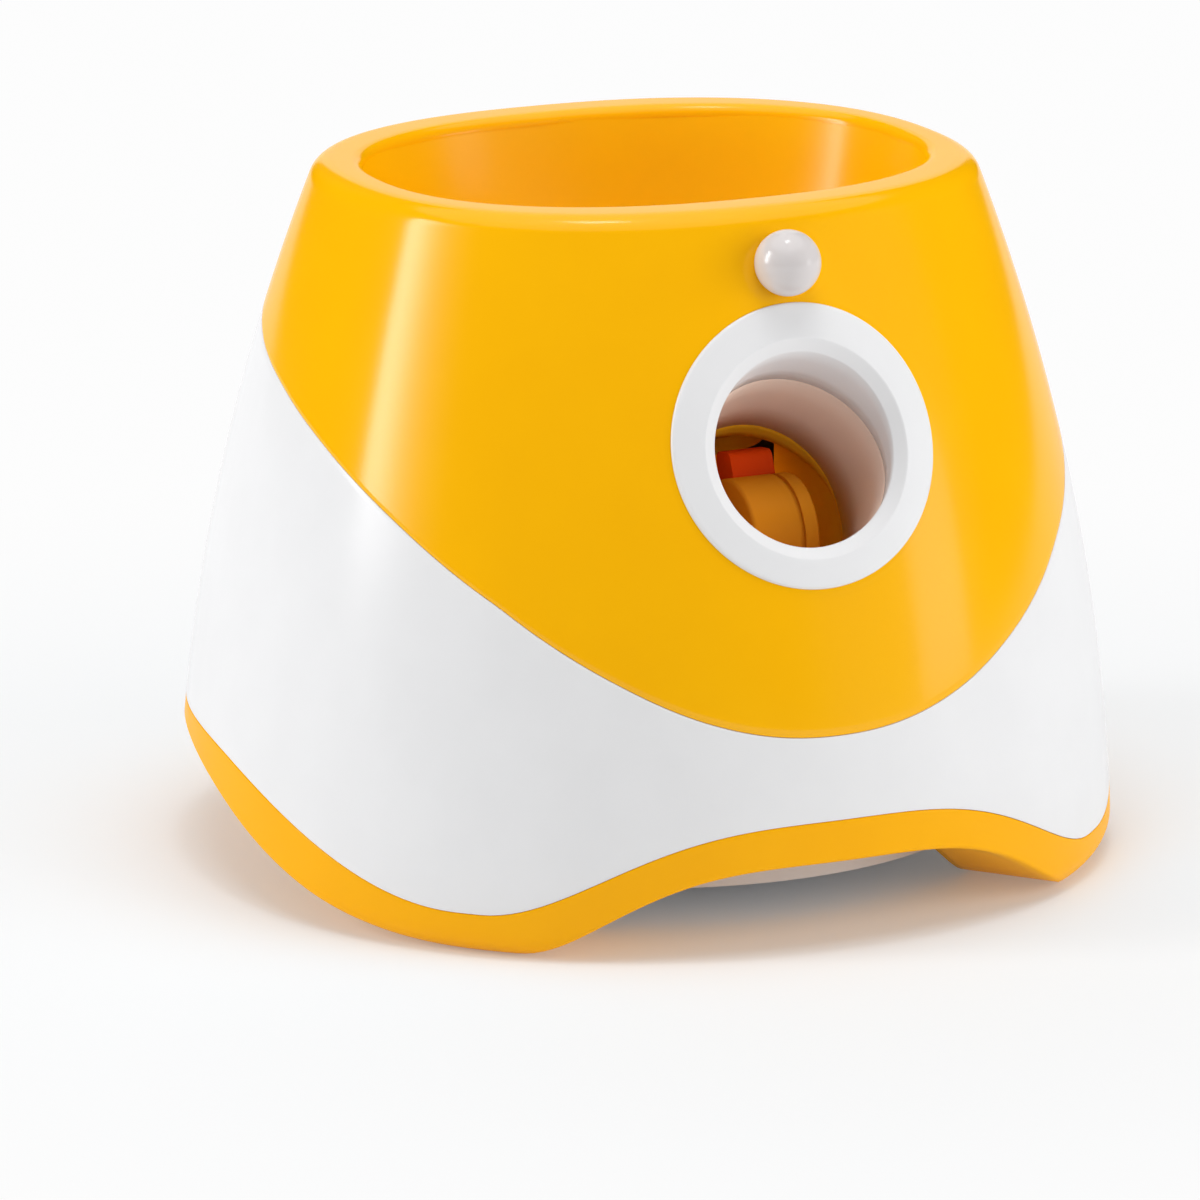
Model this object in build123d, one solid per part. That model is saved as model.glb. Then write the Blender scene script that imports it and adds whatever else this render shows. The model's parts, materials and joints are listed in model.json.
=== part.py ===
from build123d import *
import math
import os

os.makedirs("parts", exist_ok=True)

# Automatic ball launcher for dogs. Millimetres, +Z up, the launch mouth faces -Y,
# and the origin is on the floor, at the middle of the body.

# ---- general clearances and walls ----
GAP = 0.3                 # between pieces that only lie beside each other
SHAFT_PLAY = 0.05         # radial play of a running shaft
WALL = 2.8                # housing wall
BALL_R = 25.0             # the small 50 mm ball that the launcher takes
BALL_ROOM = 1.6           # radial room round a rolling ball

# ---- body: half widths (X) and half depths (Y) at the base, half way up and at the rim ----
HEIGHT = 200.0
BASE_WIDTH, WAIST_WIDTH, RIM_WIDTH = 134.0, 121.5, 93.0
BASE_DEPTH, WAIST_DEPTH, RIM_DEPTH = 131.0, 117.0, 80.5
BASE_SQUARE, RIM_SQUARE = 2.1, 2.3   # exponents of the rounded outline, 2 is an ellipse
FOOT_ROUND = 22.0         # the body rolls in to its feet with this radius
FOOT_FLOOR = 6.0          # thickness of the band over a foot pad
RIM_ROUND = 5.5
RIM_CREASE = 1.2
OPENING_WIDTH, OPENING_DEPTH = 81.0, 65.0   # half sizes of the open top

# ---- parting line between the upper and the lower shell, seen from the side ----
BIB_LOW_Z = 59.5          # lowest point, at the front
BIB_TURN = (-107.5, 80.0)
BIB_SHOULDER = (-86.0, 98.5)
BIB_MIDDLE = (0.0, 141.0)
BIB_BACK_Z = 176.0
SEAM = 0.3

# ---- foot band: three feet, an arch between each two ----
FOOT_ANGLE = 48.0         # the two front feet stand this far from the front
BAND_FOOT_Z, BAND_FRONT_Z, BAND_SIDE_Z = 12.0, 36.5, 38.5
SOLE_Z, ARCH_FRONT_Z, ARCH_SIDE_Z = 1.2, 25.0, 27.5
BAND_STEEP, ARCH_STEEP = 1.8, 1.5     # how narrow the feet are
PAN_R = 100.0             # the round well in the band that takes the base pan
PAD_R, PAD_SINK = 8.0, 2.0
PAD_STAND_R = 108.5

# ---- launch tube ----
LAUNCH_ANGLE = 40.0
MOUTH_Z = 138.0
FLANGE_R = 39.8
FLANGE_TILT = 20.0        # the flange's ring is square to the front wall, not to the tube
FLANGE_PROUD = 0.8
MOUTH_BORE_R = 26.9
MOUTH_CHAMFER = 2.6
SPIGOT_LENGTH = 16.0
TUBE_BORE_R = BALL_R + BALL_ROOM - 0.4
TUBE_WALL = 2.6
TUBE_END = 45.0           # along the launch axis, from the mouth

# ---- launch chamber ----
CHAMBER_R = BALL_R + BALL_ROOM + 0.9
CHAMBER_WALL = 2.5
CHAMBER_END = 98.0
POCKET_LIP = 3.0          # top of the pocket's rear wall, above the launch axis
SLOT_WIDTH = 24.0         # the striker swings through this slot
CHUTE_Y = -10.0
CHUTE_FLOOR_ANGLE = 36.0
CHAMBER_TOP_Z = 125.0
APRON_DROP = 4.8          # a lip round the front of the drop hole hangs this far into the chamber
APRON_WALL = 2.3
NOTCH_FRONT_Y, NOTCH_BACK_Y, NOTCH_LOW_Z = -28.0, 4.0, 104.0

# ---- striker ----
HEAD_R, HEAD_WIDTH = 17.0, 20.0
HEAD_DROP = 6.0           # the head runs this far below the launch axis
HEAD_REST, HEAD_COCKED = 43.5, 118.0   # along the launch axis, from the mouth
PIVOT_DROP = 58.0
ARM_WIDTH = 13.0
ARM_DEPTH = 11.0
ARM_TIP = 4.5
HUB_R = 9.5
STRIKER_SHAFT_R = 4.0
BUSH_R = 6.5

# ---- gear train ----
CAM_TEETH, SECOND_PINION_TEETH, CAM_MODULE = 36, 9, 1.5
SECOND_TEETH, FIRST_PINION_TEETH, SECOND_MODULE = 36, 10, 1.0
FIRST_TEETH, MOTOR_TEETH, FIRST_MODULE = 30, 9, 0.8
CAM_OFFSET, CAM_BEARING = 44.0, 15.0
SECOND_BEARING, FIRST_BEARING, MOTOR_BEARING = 40.0, 20.0, -30.0
PIN_CIRCLE, PIN_R, PIN_BEARING = 21.5, 2.5, -60.0
LEVER_LENGTH, LEVER_WIDTH, LEVER_THICK = 33.0, 8.0, 5.0
PLATE_THICK = 2.0
CAM_WIDTH, SECOND_WIDTH, FIRST_WIDTH = 6.0, 4.0, 3.0
CAM_SHAFT_R, SECOND_SHAFT_R, FIRST_SHAFT_R = 3.0, 2.0, 1.5
MOTOR_R, MOTOR_LENGTH = 13.8, 37.0

# ---- base pan and battery bay ----
PAN_FLOOR_Z, PAN_THICK = 12.0, 2.6
PAN_WALL_TOP = 24.0
CELL_R, CELL_LENGTH = 13.1, 50.0      # six C cells, in three rows of two
BAY_BACK_Y = 75.5
BAY_WALL = 2.0
DOOR_THICK = 2.0
RAIL_LIP = 2.5
SPEAKER_R, SPEAKER_X, SPEAKER_Y = 13.0, -54.0, -50.0

# ---- sensor, panel and small parts ----
LENS_R, LENS_Z, LENS_RISE, LENS_WALL = 9.3, 184.6, 7.2, 1.3
PANEL_WIDTH, PANEL_HEIGHT, PANEL_Z = 74.0, 40.0, 78.0
BUTTON_R, BUTTON_TRAVEL, BUTTON_PROUD, BUTTON_SPACING = 7.0, 1.5, 1.6, 24.0
INLET_R, INLET_BORE_R = 6.0, 3.1
BOARD_THICK = 1.6
SENSOR_DEPTH = 9.0        # the sensor board's face, under the front wall
SENSOR_POST_X, SENSOR_POST_R, SENSOR_PEG_R = 14.5, 2.4, 1.0
SWITCH_Z, SWITCH_LENGTH, SWITCH_HEIGHT, SWITCH_DEPTH = 113.0, 21.0, 11.0, 6.4
SWITCH_OUT = 5.3          # the switch stands this far off the chute's wall
SWITCH_PEG_R = 1.1
FEELER_HINGE_Z, FEELER_PIN_R, FEELER_OUT = 122.3, 0.5, 3.2
SPACER_R = 3.5
BOARD_LOW_X, BOARD_HIGH_X, BOARD_HALF_HEIGHT = -36.0, 16.0, 19.0
SCREW_R, SCREW_HEAD_R = 1.5, 2.8
FOOT_BOSS_R = 4.5
LUG_WIDTH, LUG_REACH = 24.0, 10.0
NECK_Z = 130.0
# the bowl from the neck up: shares of the way to the opening's width and depth, and of the neck's Y
BOWL_SHAPE = ((0, 0, 1), (0.58, 0.6, 0.5), (0.82, 0.82, 0.22), (0.93, 0.93, 0.08), (1, 1, 0))
PLATE_X = 30.3
MOTOR_SHAFT_R, MOTOR_NOSE_R = 1.15, 5.0
PRESSURE = math.radians(20)           # pressure angle of the gears
ADDENDUM, DEDENDUM, TOOTH_FILL = 0.85, 1.2, 0.88

BOTTOM = (Align.CENTER, Align.CENTER, Align.MIN)
TOP = (Align.CENTER, Align.CENTER, Align.MAX)


# ---- shape helpers ----
def through_three(u, low, middle, high):
    """A smooth profile through its value at the base, half way up and at the top."""
    return low + (4 * middle - 3 * low - high) * u + (2 * low - 4 * middle + 2 * high) * u * u


def half_width(z):
    return through_three(z / HEIGHT, BASE_WIDTH, WAIST_WIDTH, RIM_WIDTH)


def half_depth(z):
    return through_three(z / HEIGHT, BASE_DEPTH, WAIST_DEPTH, RIM_DEPTH)


def oval(z, width, depth, square, centre_y=0.0, count=16):
    """A closed rounded outline at height z, as a face. It starts at the back."""
    points = []
    for k in range(count):
        turn = math.pi + 2 * math.pi * k / count
        sine, cosine = math.sin(turn), math.cos(turn)
        reach = (abs(sine / width) ** square + abs(cosine / depth) ** square) ** (-1 / square)
        points.append((reach * sine, centre_y - reach * cosine, z))
    return make_face(Spline(*points, periodic=True))


def body(offset, low=0.0, high=HEIGHT):
    """The body's flared form, made larger or smaller by an offset, between two heights."""
    faces = []
    for k in range(5):
        z = low + (high - low) * k / 4
        square = BASE_SQUARE + (RIM_SQUARE - BASE_SQUARE) * z / HEIGHT
        faces.append(oval(z, half_width(z) + offset, half_depth(z) + offset, square))
    return loft(faces)


def wave(angle, foot, front, side, steep):
    """Height of the band's edge at an angle from the front: low at the feet, high between."""
    angle = abs((angle + 180) % 360 - 180)
    if angle < FOOT_ANGLE:
        share, rise = angle / FOOT_ANGLE, front - foot
    else:
        half_span = (180 - FOOT_ANGLE) / 2
        share, rise = abs(angle - FOOT_ANGLE - half_span) / half_span, side - foot
    return foot + rise * math.cos(math.pi / 2 * share ** steep) ** 2


def below_wave(foot, front, side, steep, raise_by=0.0, depth=90.0, up=False):
    """Everything under (or over) a wavy edge that runs round the body."""
    rings = []
    for radius in (PAN_R / 2, BASE_WIDTH * 1.2):
        points = []
        for k in range(36):
            angle = 10.0 * k + 25
            z = wave(angle, foot, front, side, steep) + raise_by
            turn = math.radians(angle)
            points.append((radius * math.sin(turn), -radius * math.cos(turn), z))
        rings.append(Spline(*points, periodic=True))
    face = Face.make_surface_from_curves(rings[0].edge(), rings[1].edge())
    return Solid.extrude(face, Vector(0, 0, depth if up else -depth))


def along_launch(distance, lift=0.0):
    """A point on the launch axis, inside the mouth by a distance, raised square to the axis."""
    c, s = math.cos(math.radians(LAUNCH_ANGLE)), math.sin(math.radians(LAUNCH_ANGLE))
    return Vector(0, MOUTH_Y + distance * c + lift * s, MOUTH_Z - distance * s + lift * c)


def launch_plane(distance, lift=0.0):
    """A plane square to the launch axis; its local Z points out of the mouth."""
    c, s = math.cos(math.radians(LAUNCH_ANGLE)), math.sin(math.radians(LAUNCH_ANGLE))
    return Plane(origin=along_launch(distance, lift), x_dir=(1, 0, 0), z_dir=(0, -c, s))


def side_prism(points, x_low, x_high):
    """A solid with a straight-sided outline given as (y, z), between two X values."""
    outline = Plane.YZ.offset(x_low) * make_face(Polyline(*points, close=True))
    return extrude(outline, x_high - x_low, dir=(1, 0, 0))


def rod(y, z, radius, x_low, x_high):
    """A cylinder along X."""
    return Plane.YZ.offset(x_low) * Pos(y, z) * extrude(Circle(radius), x_high - x_low)


def peg(x, z, radius, y_low, y_high):
    """A cylinder along Y."""
    return Pos(x, y_low, z) * Rot(-90, 0, 0) * Cylinder(radius, y_high - y_low, align=BOTTOM)


def polar(centre, distance, degrees):
    """A (y, z) point at a distance and bearing from another, measured from +Y towards +Z."""
    turn = math.radians(degrees)
    return (centre[0] + distance * math.cos(turn), centre[1] + distance * math.sin(turn))


def block(x_low, x_high, y_low, y_high, z_low, z_high):
    corner = (Align.MIN, Align.MIN, Align.MIN)
    return Pos(x_low, y_low, z_low) * Box(x_high - x_low, y_high - y_low, z_high - z_low, align=corner)


def save(shape, name):
    shape.label = name
    export_step(shape, "parts/" + name + ".step")


MOUTH_Y = -half_depth(MOUTH_Z)

outer = body(0.0)
inner = body(-WALL, high=HEIGHT - WALL)


# ---- housing shells ----
def bib_region(upper):
    """Everything on the upper, or the lower, side of the parting line."""
    reach = BASE_DEPTH * 1.3
    shift = 0.0 if upper else -SEAM
    low_y = -half_depth(BIB_LOW_Z)
    back_y = half_depth(BIB_BACK_Z)
    edge = Spline(
        (low_y, BIB_LOW_Z + shift),
        (BIB_TURN[0], BIB_TURN[1] + shift),
        (BIB_SHOULDER[0], BIB_SHOULDER[1] + shift),
        (BIB_MIDDLE[0], BIB_MIDDLE[1] + shift),
        (back_y, BIB_BACK_Z + shift),
        tangents=[(1, 1), (1, 0.4)],
    )
    far_z = HEIGHT * 1.5 if upper else -HEIGHT
    rest = Polyline(
        (back_y, BIB_BACK_Z + shift),
        (reach, BIB_BACK_Z + shift + 0.4 * (reach - back_y)),
        (reach, far_z),
        (-reach, far_z),
        (-reach, BIB_LOW_Z + shift),
        (low_y, BIB_LOW_Z + shift),
    )
    region = Plane.YZ.offset(-BASE_WIDTH * 1.2) * make_face(Curve() + [edge, rest])
    return extrude(region, BASE_WIDTH * 2.4, dir=(1, 0, 0))


def flange_column(radius, length=60.0):
    """A column square to the front wall, through the middle of the mouth."""
    tilt = math.radians(FLANGE_TILT)
    out = (0, -math.cos(tilt), math.sin(tilt))
    return Plane(origin=(0, MOUTH_Y, MOUTH_Z), x_dir=(1, 0, 0), z_dir=out) * Cylinder(radius, length)


LENS_Y = -half_depth(LENS_Z)
LENS_TILT = math.atan((half_depth(LENS_Z - 5) - half_depth(LENS_Z + 5)) / 10)


def lens_plane(depth=0.0):
    """A plane on the front wall at the sensor, sunk by a depth; its local Z points outwards."""
    out = Vector(0, -math.cos(LENS_TILT), math.sin(LENS_TILT))
    return Plane(origin=Vector(0, LENS_Y, LENS_Z) - out * depth, x_dir=(1, 0, 0), z_dir=out)


def back_panel(width, height, growth=0.0):
    """A rounded block that cuts the control panel's outline out of the back wall."""
    outline = Plane.XZ * Pos(0, PANEL_Z) * RectangleRounded(width + 2 * growth, height + 2 * growth, 8)
    return extrude(outline, BASE_DEPTH * 1.2, dir=(0, 1, 0))


opening = extrude(oval(HEIGHT - 20, OPENING_WIDTH, OPENING_DEPTH, RIM_SQUARE), 40, dir=(0, 0, 1))

upper_shell = fillet(outer.edges().group_by(Axis.Z)[-1], RIM_ROUND) - inner
upper_shell -= opening
crease = upper_shell.edges().filter_by_position(Axis.Z, HEIGHT - 0.01, HEIGHT + 0.01)
upper_shell = fillet(crease.sort_by(SortBy.LENGTH)[0], RIM_CREASE)
upper_shell &= bib_region(True)
upper_shell -= flange_column(FLANGE_R + GAP)
upper_shell -= lens_plane() * Cylinder(LENS_R + 0.15, 40)
mid_wall = body(-WALL / 2)
for side in (-1, 1):
    post_top = lens_plane(SENSOR_DEPTH - 0.1) * Pos(side * SENSOR_POST_X, 0, 0)
    sensor_post = post_top * Cylinder(SENSOR_POST_R, SENSOR_DEPTH, align=BOTTOM)
    sensor_post += post_top * Cylinder(SENSOR_PEG_R, BOARD_THICK + 0.7, align=TOP)
    upper_shell += sensor_post & mid_wall
save(upper_shell, "upper_shell")

BAND_EDGE = (BAND_FOOT_Z, BAND_FRONT_Z, BAND_SIDE_Z, BAND_STEEP)
SOLE_EDGE = (SOLE_Z, ARCH_FRONT_Z, ARCH_SIDE_Z, ARCH_STEEP)
rolled = fillet(outer.edges().group_by(Axis.Z)[0], FOOT_ROUND)
hollow = fillet(inner.edges().group_by(Axis.Z)[0], FOOT_ROUND - WALL)


def at_feet(shape):
    """The same shape at the three feet; it is drawn for the back foot."""
    turns = (0, 180 - FOOT_ANGLE, FOOT_ANGLE - 180)
    return [Rot(0, 0, turn) * shape for turn in turns]


boss_low = SOLE_Z + FOOT_FLOOR + 1
foot_boss = Pos(0, PAD_STAND_R, boss_low) * Cylinder(FOOT_BOSS_R, 24, align=BOTTOM)
foot_boss += block(-1.2, 1.2, PAD_STAND_R + 3, PAD_STAND_R + 30, BAND_FOOT_Z + 1, boss_low + 24)
foot_boss -= Pos(0, PAD_STAND_R, boss_low) * Cylinder(SCREW_R, 14, align=BOTTOM)

lower_shell = ((rolled - hollow) & bib_region(False)) - below_wave(*BAND_EDGE, SEAM)
lower_shell += [boss & mid_wall for boss in at_feet(foot_boss)]
lower_shell -= back_panel(PANEL_WIDTH, PANEL_HEIGHT, GAP)
save(lower_shell, "lower_shell")

ring = rolled & block(-BASE_WIDTH, BASE_WIDTH, -BASE_DEPTH, BASE_DEPTH, -1, BAND_SIDE_Z + 10)
ring -= Cylinder(PAN_R + GAP, HEIGHT)
band = ring - below_wave(*SOLE_EDGE)
band &= below_wave(*BAND_EDGE)
inside = hollow - Cylinder(PAN_R + GAP + WALL, HEIGHT)
inside &= below_wave(*SOLE_EDGE, FOOT_FLOOR, up=True)
band -= inside
lug = block(-LUG_WIDTH / 2, LUG_WIDTH / 2, PAN_R - LUG_REACH, PAN_R + 1, boss_low, PAN_FLOOR_Z - GAP)
band += at_feet(lug)
pad_seat = Pos(0, PAD_STAND_R, 0) * Cylinder(PAD_R + 0.1, SOLE_Z + PAD_SINK, align=BOTTOM)
screw_way = Pos(0, PAD_STAND_R, 0) * Cylinder(SCREW_HEAD_R + GAP, SOLE_Z + PAD_SINK + 2.2, align=BOTTOM)
screw_way += Pos(0, PAD_STAND_R, 0) * Cylinder(SCREW_R + 0.1, 20, align=BOTTOM)
pan_screw_y = PAN_R - LUG_REACH / 2
screw_way += Pos(0, pan_screw_y, 0) * Cylinder(SCREW_R + 0.1, 20, align=BOTTOM)
band -= at_feet(pad_seat) + at_feet(screw_way)
save(band, "foot_band")

pad = Pos(0, PAD_STAND_R, 0) * Cylinder(PAD_R, SOLE_Z + PAD_SINK, align=BOTTOM)
pad = chamfer(pad.edges().group_by(Axis.Z)[0], 0.6)
save(Compound(at_feet(pad)), "foot_pads")


def screw(z, length, y):
    """A pan-head screw pointing up, with its head under height z, at a distance from the middle."""
    head = Pos(0, y, z) * Cylinder(SCREW_HEAD_R, 1.8, align=TOP)
    return head + Pos(0, y, z) * Cylinder(SCREW_R, length, align=BOTTOM)


case_screws = at_feet(screw(SOLE_Z + PAD_SINK + 2.2, 14, PAD_STAND_R))
case_screws += at_feet(screw(boss_low - 0.1, 14, pan_screw_y))
save(Compound(case_screws), "case_screws")

# ---- base pan, battery bay and its door ----
bay_front_y = BAY_BACK_Y - 3 * (2 * CELL_R + 0.6)
bay_x = CELL_LENGTH + 4
bay_roof_z = PAN_FLOOR_Z + PAN_THICK + 2 * CELL_R + 0.8
pan = Pos(0, 0, PAN_FLOOR_Z) * Cylinder(PAN_R, PAN_WALL_TOP - PAN_FLOOR_Z, align=BOTTOM)
pan -= Pos(0, 0, PAN_FLOOR_Z + PAN_THICK) * Cylinder(PAN_R - WALL, PAN_WALL_TOP, align=BOTTOM)
pan += block(-bay_x - BAY_WALL, bay_x + BAY_WALL, bay_front_y - BAY_WALL, BAY_BACK_Y + BAY_WALL,
             PAN_FLOOR_Z, bay_roof_z + BAY_WALL)
rail_z = PAN_FLOOR_Z - DOOR_THICK - 2 * GAP - BAY_WALL
pan += block(-bay_x, bay_x, bay_front_y - BAY_WALL, BAY_BACK_Y + BAY_WALL, rail_z, PAN_FLOOR_Z)
door_way = block(-bay_x - 1, bay_x + 1, bay_front_y, BAY_BACK_Y, rail_z + BAY_WALL, PAN_FLOOR_Z)
door_way += block(-bay_x - 1, bay_x + 1, bay_front_y + RAIL_LIP, BAY_BACK_Y - RAIL_LIP, 0, PAN_FLOOR_Z)
pan -= door_way
pan -= block(-bay_x, bay_x, bay_front_y, BAY_BACK_Y, PAN_FLOOR_Z - 1, bay_roof_z)
pan += at_feet(Pos(0, pan_screw_y, PAN_FLOOR_Z + 1) * Cylinder(4, 9, align=BOTTOM))
for hole in at_feet(Pos(0, pan_screw_y, PAN_FLOOR_Z - 1) * Cylinder(SCREW_R, 12, align=BOTTOM)):
    pan -= hole
for k in range(-2, 3):
    slot = Pos(SPEAKER_X + 4.4 * k, SPEAKER_Y, PAN_FLOOR_Z) * SlotOverall(20 - 2.5 * abs(k), 2.2, 90)
    pan -= extrude(slot, PAN_THICK)
save(pan, "base_pan")

door_gap = 0.25
door_top = PAN_FLOOR_Z - GAP
door = block(-bay_x, bay_x, bay_front_y + door_gap, BAY_BACK_Y - door_gap, door_top - DOOR_THICK, door_top)
for k in range(5):
    door -= block(bay_x - 12 - 4 * k, bay_x - 10 - 4 * k, 10, 60, 0, door_top - DOOR_THICK + 0.8)
save(door, "battery_door")

springs, plates = [], []
for row in range(3):
    cell_y = bay_front_y + CELL_R + 0.3 + row * (2 * CELL_R + 0.6)
    cell_z = PAN_FLOOR_Z + PAN_THICK + CELL_R
    spring_side = -1 if row % 2 else 1
    helix = Helix(1.6, 4.0, 4.6, cone_angle=-14)
    wire = sweep(Plane(origin=helix @ 0, z_dir=helix % 0) * Circle(0.45), path=helix)
    face = Plane.YZ if spring_side < 0 else Plane(origin=(0, 0, 0), x_dir=(0, 1, 0), z_dir=(-1, 0, 0))
    springs.append(Pos(spring_side * (bay_x - 1.1), cell_y, cell_z) * face.location * wire)
    for side in (-1, 1):
        inner_x = bay_x - 0.5
        low, high = sorted((side * inner_x, side * (bay_x - 0.1)))
        plates.append(block(low, high, cell_y - 8, cell_y + 8, cell_z - 8, cell_z + 8))
save(Compound(springs), "battery_springs")
save(Compound(plates), "battery_plates")

speaker = Pos(SPEAKER_X, SPEAKER_Y, PAN_FLOOR_Z + PAN_THICK + 0.1) * Cylinder(SPEAKER_R, 3.5, align=BOTTOM)
speaker += speaker.faces().sort_by(Axis.Z)[-1].center_location * Cone(SPEAKER_R - 1, 7.5, 4, align=BOTTOM)
speaker += speaker.faces().sort_by(Axis.Z)[-1].center_location * Cylinder(7.5, 5, align=BOTTOM)
save(speaker, "loudspeaker")

# ---- hopper bowl ----
bowl_top = HEIGHT - WALL - 0.1
neck_low = CHAMBER_TOP_Z + GAP


def bowl_form(growth, top_z):
    """The bowl's form, from the round neck up to the opening, as five even sections."""
    sections = []
    for k, (wide, deep, shift) in enumerate(BOWL_SHAPE):
        z = NECK_Z + (top_z - NECK_Z) * k / 4
        wide = CHAMBER_R + (OPENING_WIDTH - CHAMBER_R) * wide + growth
        deep = CHAMBER_R + (OPENING_DEPTH - CHAMBER_R) * deep + growth
        sections.append(oval(z, wide, deep, 2.0 + (RIM_SQUARE - 2.0) * k / 4, CHUTE_Y * shift))
    return loft(sections)


def neck_pipe(growth):
    """The neck below the bowl, of the bowl's own outline."""
    radius = CHAMBER_R + growth
    return extrude(oval(neck_low, radius, radius, 2.0, CHUTE_Y), NECK_Z - neck_low, dir=(0, 0, 1))


bowl = bowl_form(CHAMBER_WALL, bowl_top) - bowl_form(0.0, bowl_top + 1)
bowl += neck_pipe(CHAMBER_WALL) - neck_pipe(0.0)
bowl_lip = extrude(oval(bowl_top - 2, OPENING_WIDTH + 5, OPENING_DEPTH + 5, RIM_SQUARE), 2, dir=(0, 0, 1))
bowl += bowl_lip - bowl_form(1.0, bowl_top + 1)
save(bowl, "hopper_bowl")

# ---- launch flange and tube ----
def launch_ring(inside_r, outside_r, near, far):
    """A tube round the launch axis, between two distances inside the mouth."""
    depth = far - near
    ring_body = launch_plane(far) * Cylinder(outside_r, depth, align=BOTTOM)
    return ring_body - launch_plane(far) * Cylinder(inside_r, depth, align=BOTTOM)


spigot_r = MOUTH_BORE_R + TUBE_WALL
flange = (body(FLANGE_PROUD) - body(-WALL)) & flange_column(FLANGE_R)
flange += launch_ring(MOUTH_BORE_R, spigot_r, -20, SPIGOT_LENGTH) & body(-0.5)
flange -= launch_plane(SPIGOT_LENGTH + 1) * Cylinder(MOUTH_BORE_R, 80, align=BOTTOM)
mouth_edge = flange.edges().filter_by(GeomType.LINE, reverse=True).sort_by_distance(along_launch(-60))[0]
flange = chamfer(mouth_edge, MOUTH_CHAMFER)
save(flange, "launch_flange")

tube_start = SPIGOT_LENGTH + GAP
tube = launch_ring(TUBE_BORE_R, TUBE_BORE_R + TUBE_WALL, tube_start, TUBE_END)
tube += launch_ring(TUBE_BORE_R, TUBE_BORE_R + TUBE_WALL + 1.2, tube_start, tube_start + 3)
save(tube, "launch_tube")

# ---- launch chamber: two halves, with the drop chute and the striker's webs ----
chamber_start = TUBE_END + GAP
pivot_v = along_launch((HEAD_REST + HEAD_COCKED) / 2, -HEAD_DROP - PIVOT_DROP)
pivot = (pivot_v.Y, pivot_v.Z)
arm_length = math.hypot((HEAD_COCKED - HEAD_REST) / 2, PIVOT_DROP)
half_swing = math.degrees(math.asin((HEAD_COCKED - HEAD_REST) / 2 / arm_length))
rest_bearing = 90 - LAUNCH_ANGLE + half_swing
tip_reach = arm_length + HEAD_R + 6.5
slot_r = tip_reach + 3


def yz(distance, lift):
    point = along_launch(distance, lift)
    return (point.Y, point.Z)


def trough(radius, rear, floor_drop, top_z):
    """The chamber's room (or its outside): a round-bottomed trough that runs into the chute."""
    slope = math.radians(CHUTE_FLOOR_ANGLE)
    crest = yz(rear, POCKET_LIP)
    crest = (crest[0] + floor_drop * math.sin(slope), crest[1] - floor_drop * math.cos(slope))
    back_y = CHUTE_Y + radius
    back_z = crest[1] + (back_y - crest[0]) * math.tan(slope)
    launch_slope = math.radians(LAUNCH_ANGLE)
    start = yz(chamber_start if floor_drop else chamber_start - 5, -radius)
    top_y = start[0] + (top_z - start[1]) * math.tan(launch_slope)
    outline = [start, yz(rear, -radius), crest, (back_y, back_z), (back_y, top_z), (top_y, top_z)]
    room = side_prism(outline, -radius, radius)
    gutter = launch_plane(0) * Cylinder(radius, 500)
    above = launch_plane(0) * Pos(0, 150, 0) * Box(2 * radius, 300, 600)
    return room & (gutter + above)


chamber_out = CHAMBER_R + CHAMBER_WALL
chamber = trough(chamber_out, CHAMBER_END + CHAMBER_WALL, CHAMBER_WALL, CHAMBER_TOP_Z)
chamber -= trough(CHAMBER_R, CHAMBER_END, 0, CHAMBER_TOP_Z + 20)
pan_top = PAN_FLOOR_Z + PAN_THICK + 0.1
bumper_out = 26.0
bumper_point = polar(polar(pivot, bumper_out, rest_bearing), ARM_DEPTH / 2 + 9.2, rest_bearing + 90)
web_rear = yz(CHAMBER_END, -chamber_out * 0.55)
web_front = 1 - math.sqrt((PAN_R - WALL) ** 2 - (chamber_out + 8) ** 2)
web_outline = [
    (web_front, pan_top),
    (web_front, PAN_WALL_TOP + 1),
    (pivot[0] - BUSH_R - 2, pivot[1] - 6),
    (pivot[0] - BUSH_R - 2, pivot[1] + 8),
    (bumper_point[0] - 5, bumper_point[1]),
    yz(chamber_start, -chamber_out),
    yz(chamber_start, -chamber_out * 0.3),
    web_rear,
    (web_rear[0] + 8, pan_top),
]
web_window = [
    (pivot[0] + 14, pan_top + 7),
    (pivot[0] + 13, pivot[1] + 12),
    (pivot[0] + 11, pivot[1] + 30),
    (web_rear[0] - 4, web_rear[1] - 14),
    (web_rear[0] + 2, pan_top + 7),
]
for side in (-1, 1):
    near, far = sorted((side * CHAMBER_R, side * chamber_out))
    web = side_prism(web_outline, near, far)
    web -= side_prism(web_window, near, far)
    boss_near, boss_far = sorted((side * (CHAMBER_R - 4.5), side * CHAMBER_R))
    web += rod(*pivot, BUSH_R + 2.5, boss_near, boss_far)
    foot_near, foot_far = sorted((side * chamber_out, side * (chamber_out + 8)))
    for foot_y in (web_front + 5, web_rear[0] + 2):
        web += block(foot_near, foot_far, foot_y - 5, foot_y + 5, pan_top, pan_top + 2.5)
    chamber += web
slot_sector = rod(*pivot, slot_r, -SLOT_WIDTH / 2, SLOT_WIDTH / 2)
before_chamber = [yz(-20, -80), yz(chamber_start - 1, -80), yz(chamber_start - 1, 40), yz(-20, 40)]
slot_sector -= side_prism(before_chamber, -SLOT_WIDTH, SLOT_WIDTH)
keep_bar = rod(*bumper_point, 4.0, -CHAMBER_R, CHAMBER_R)
chamber = chamber - slot_sector + keep_bar
chamber -= rod(*pivot, BUSH_R + 0.02, -chamber_out, chamber_out)
apron = Pos(0, CHUTE_Y, CHAMBER_TOP_Z) * Cylinder(CHAMBER_R + APRON_WALL, APRON_DROP, align=TOP)
apron -= Pos(0, CHUTE_Y, CHAMBER_TOP_Z) * Cylinder(CHAMBER_R, APRON_DROP, align=TOP)
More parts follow.
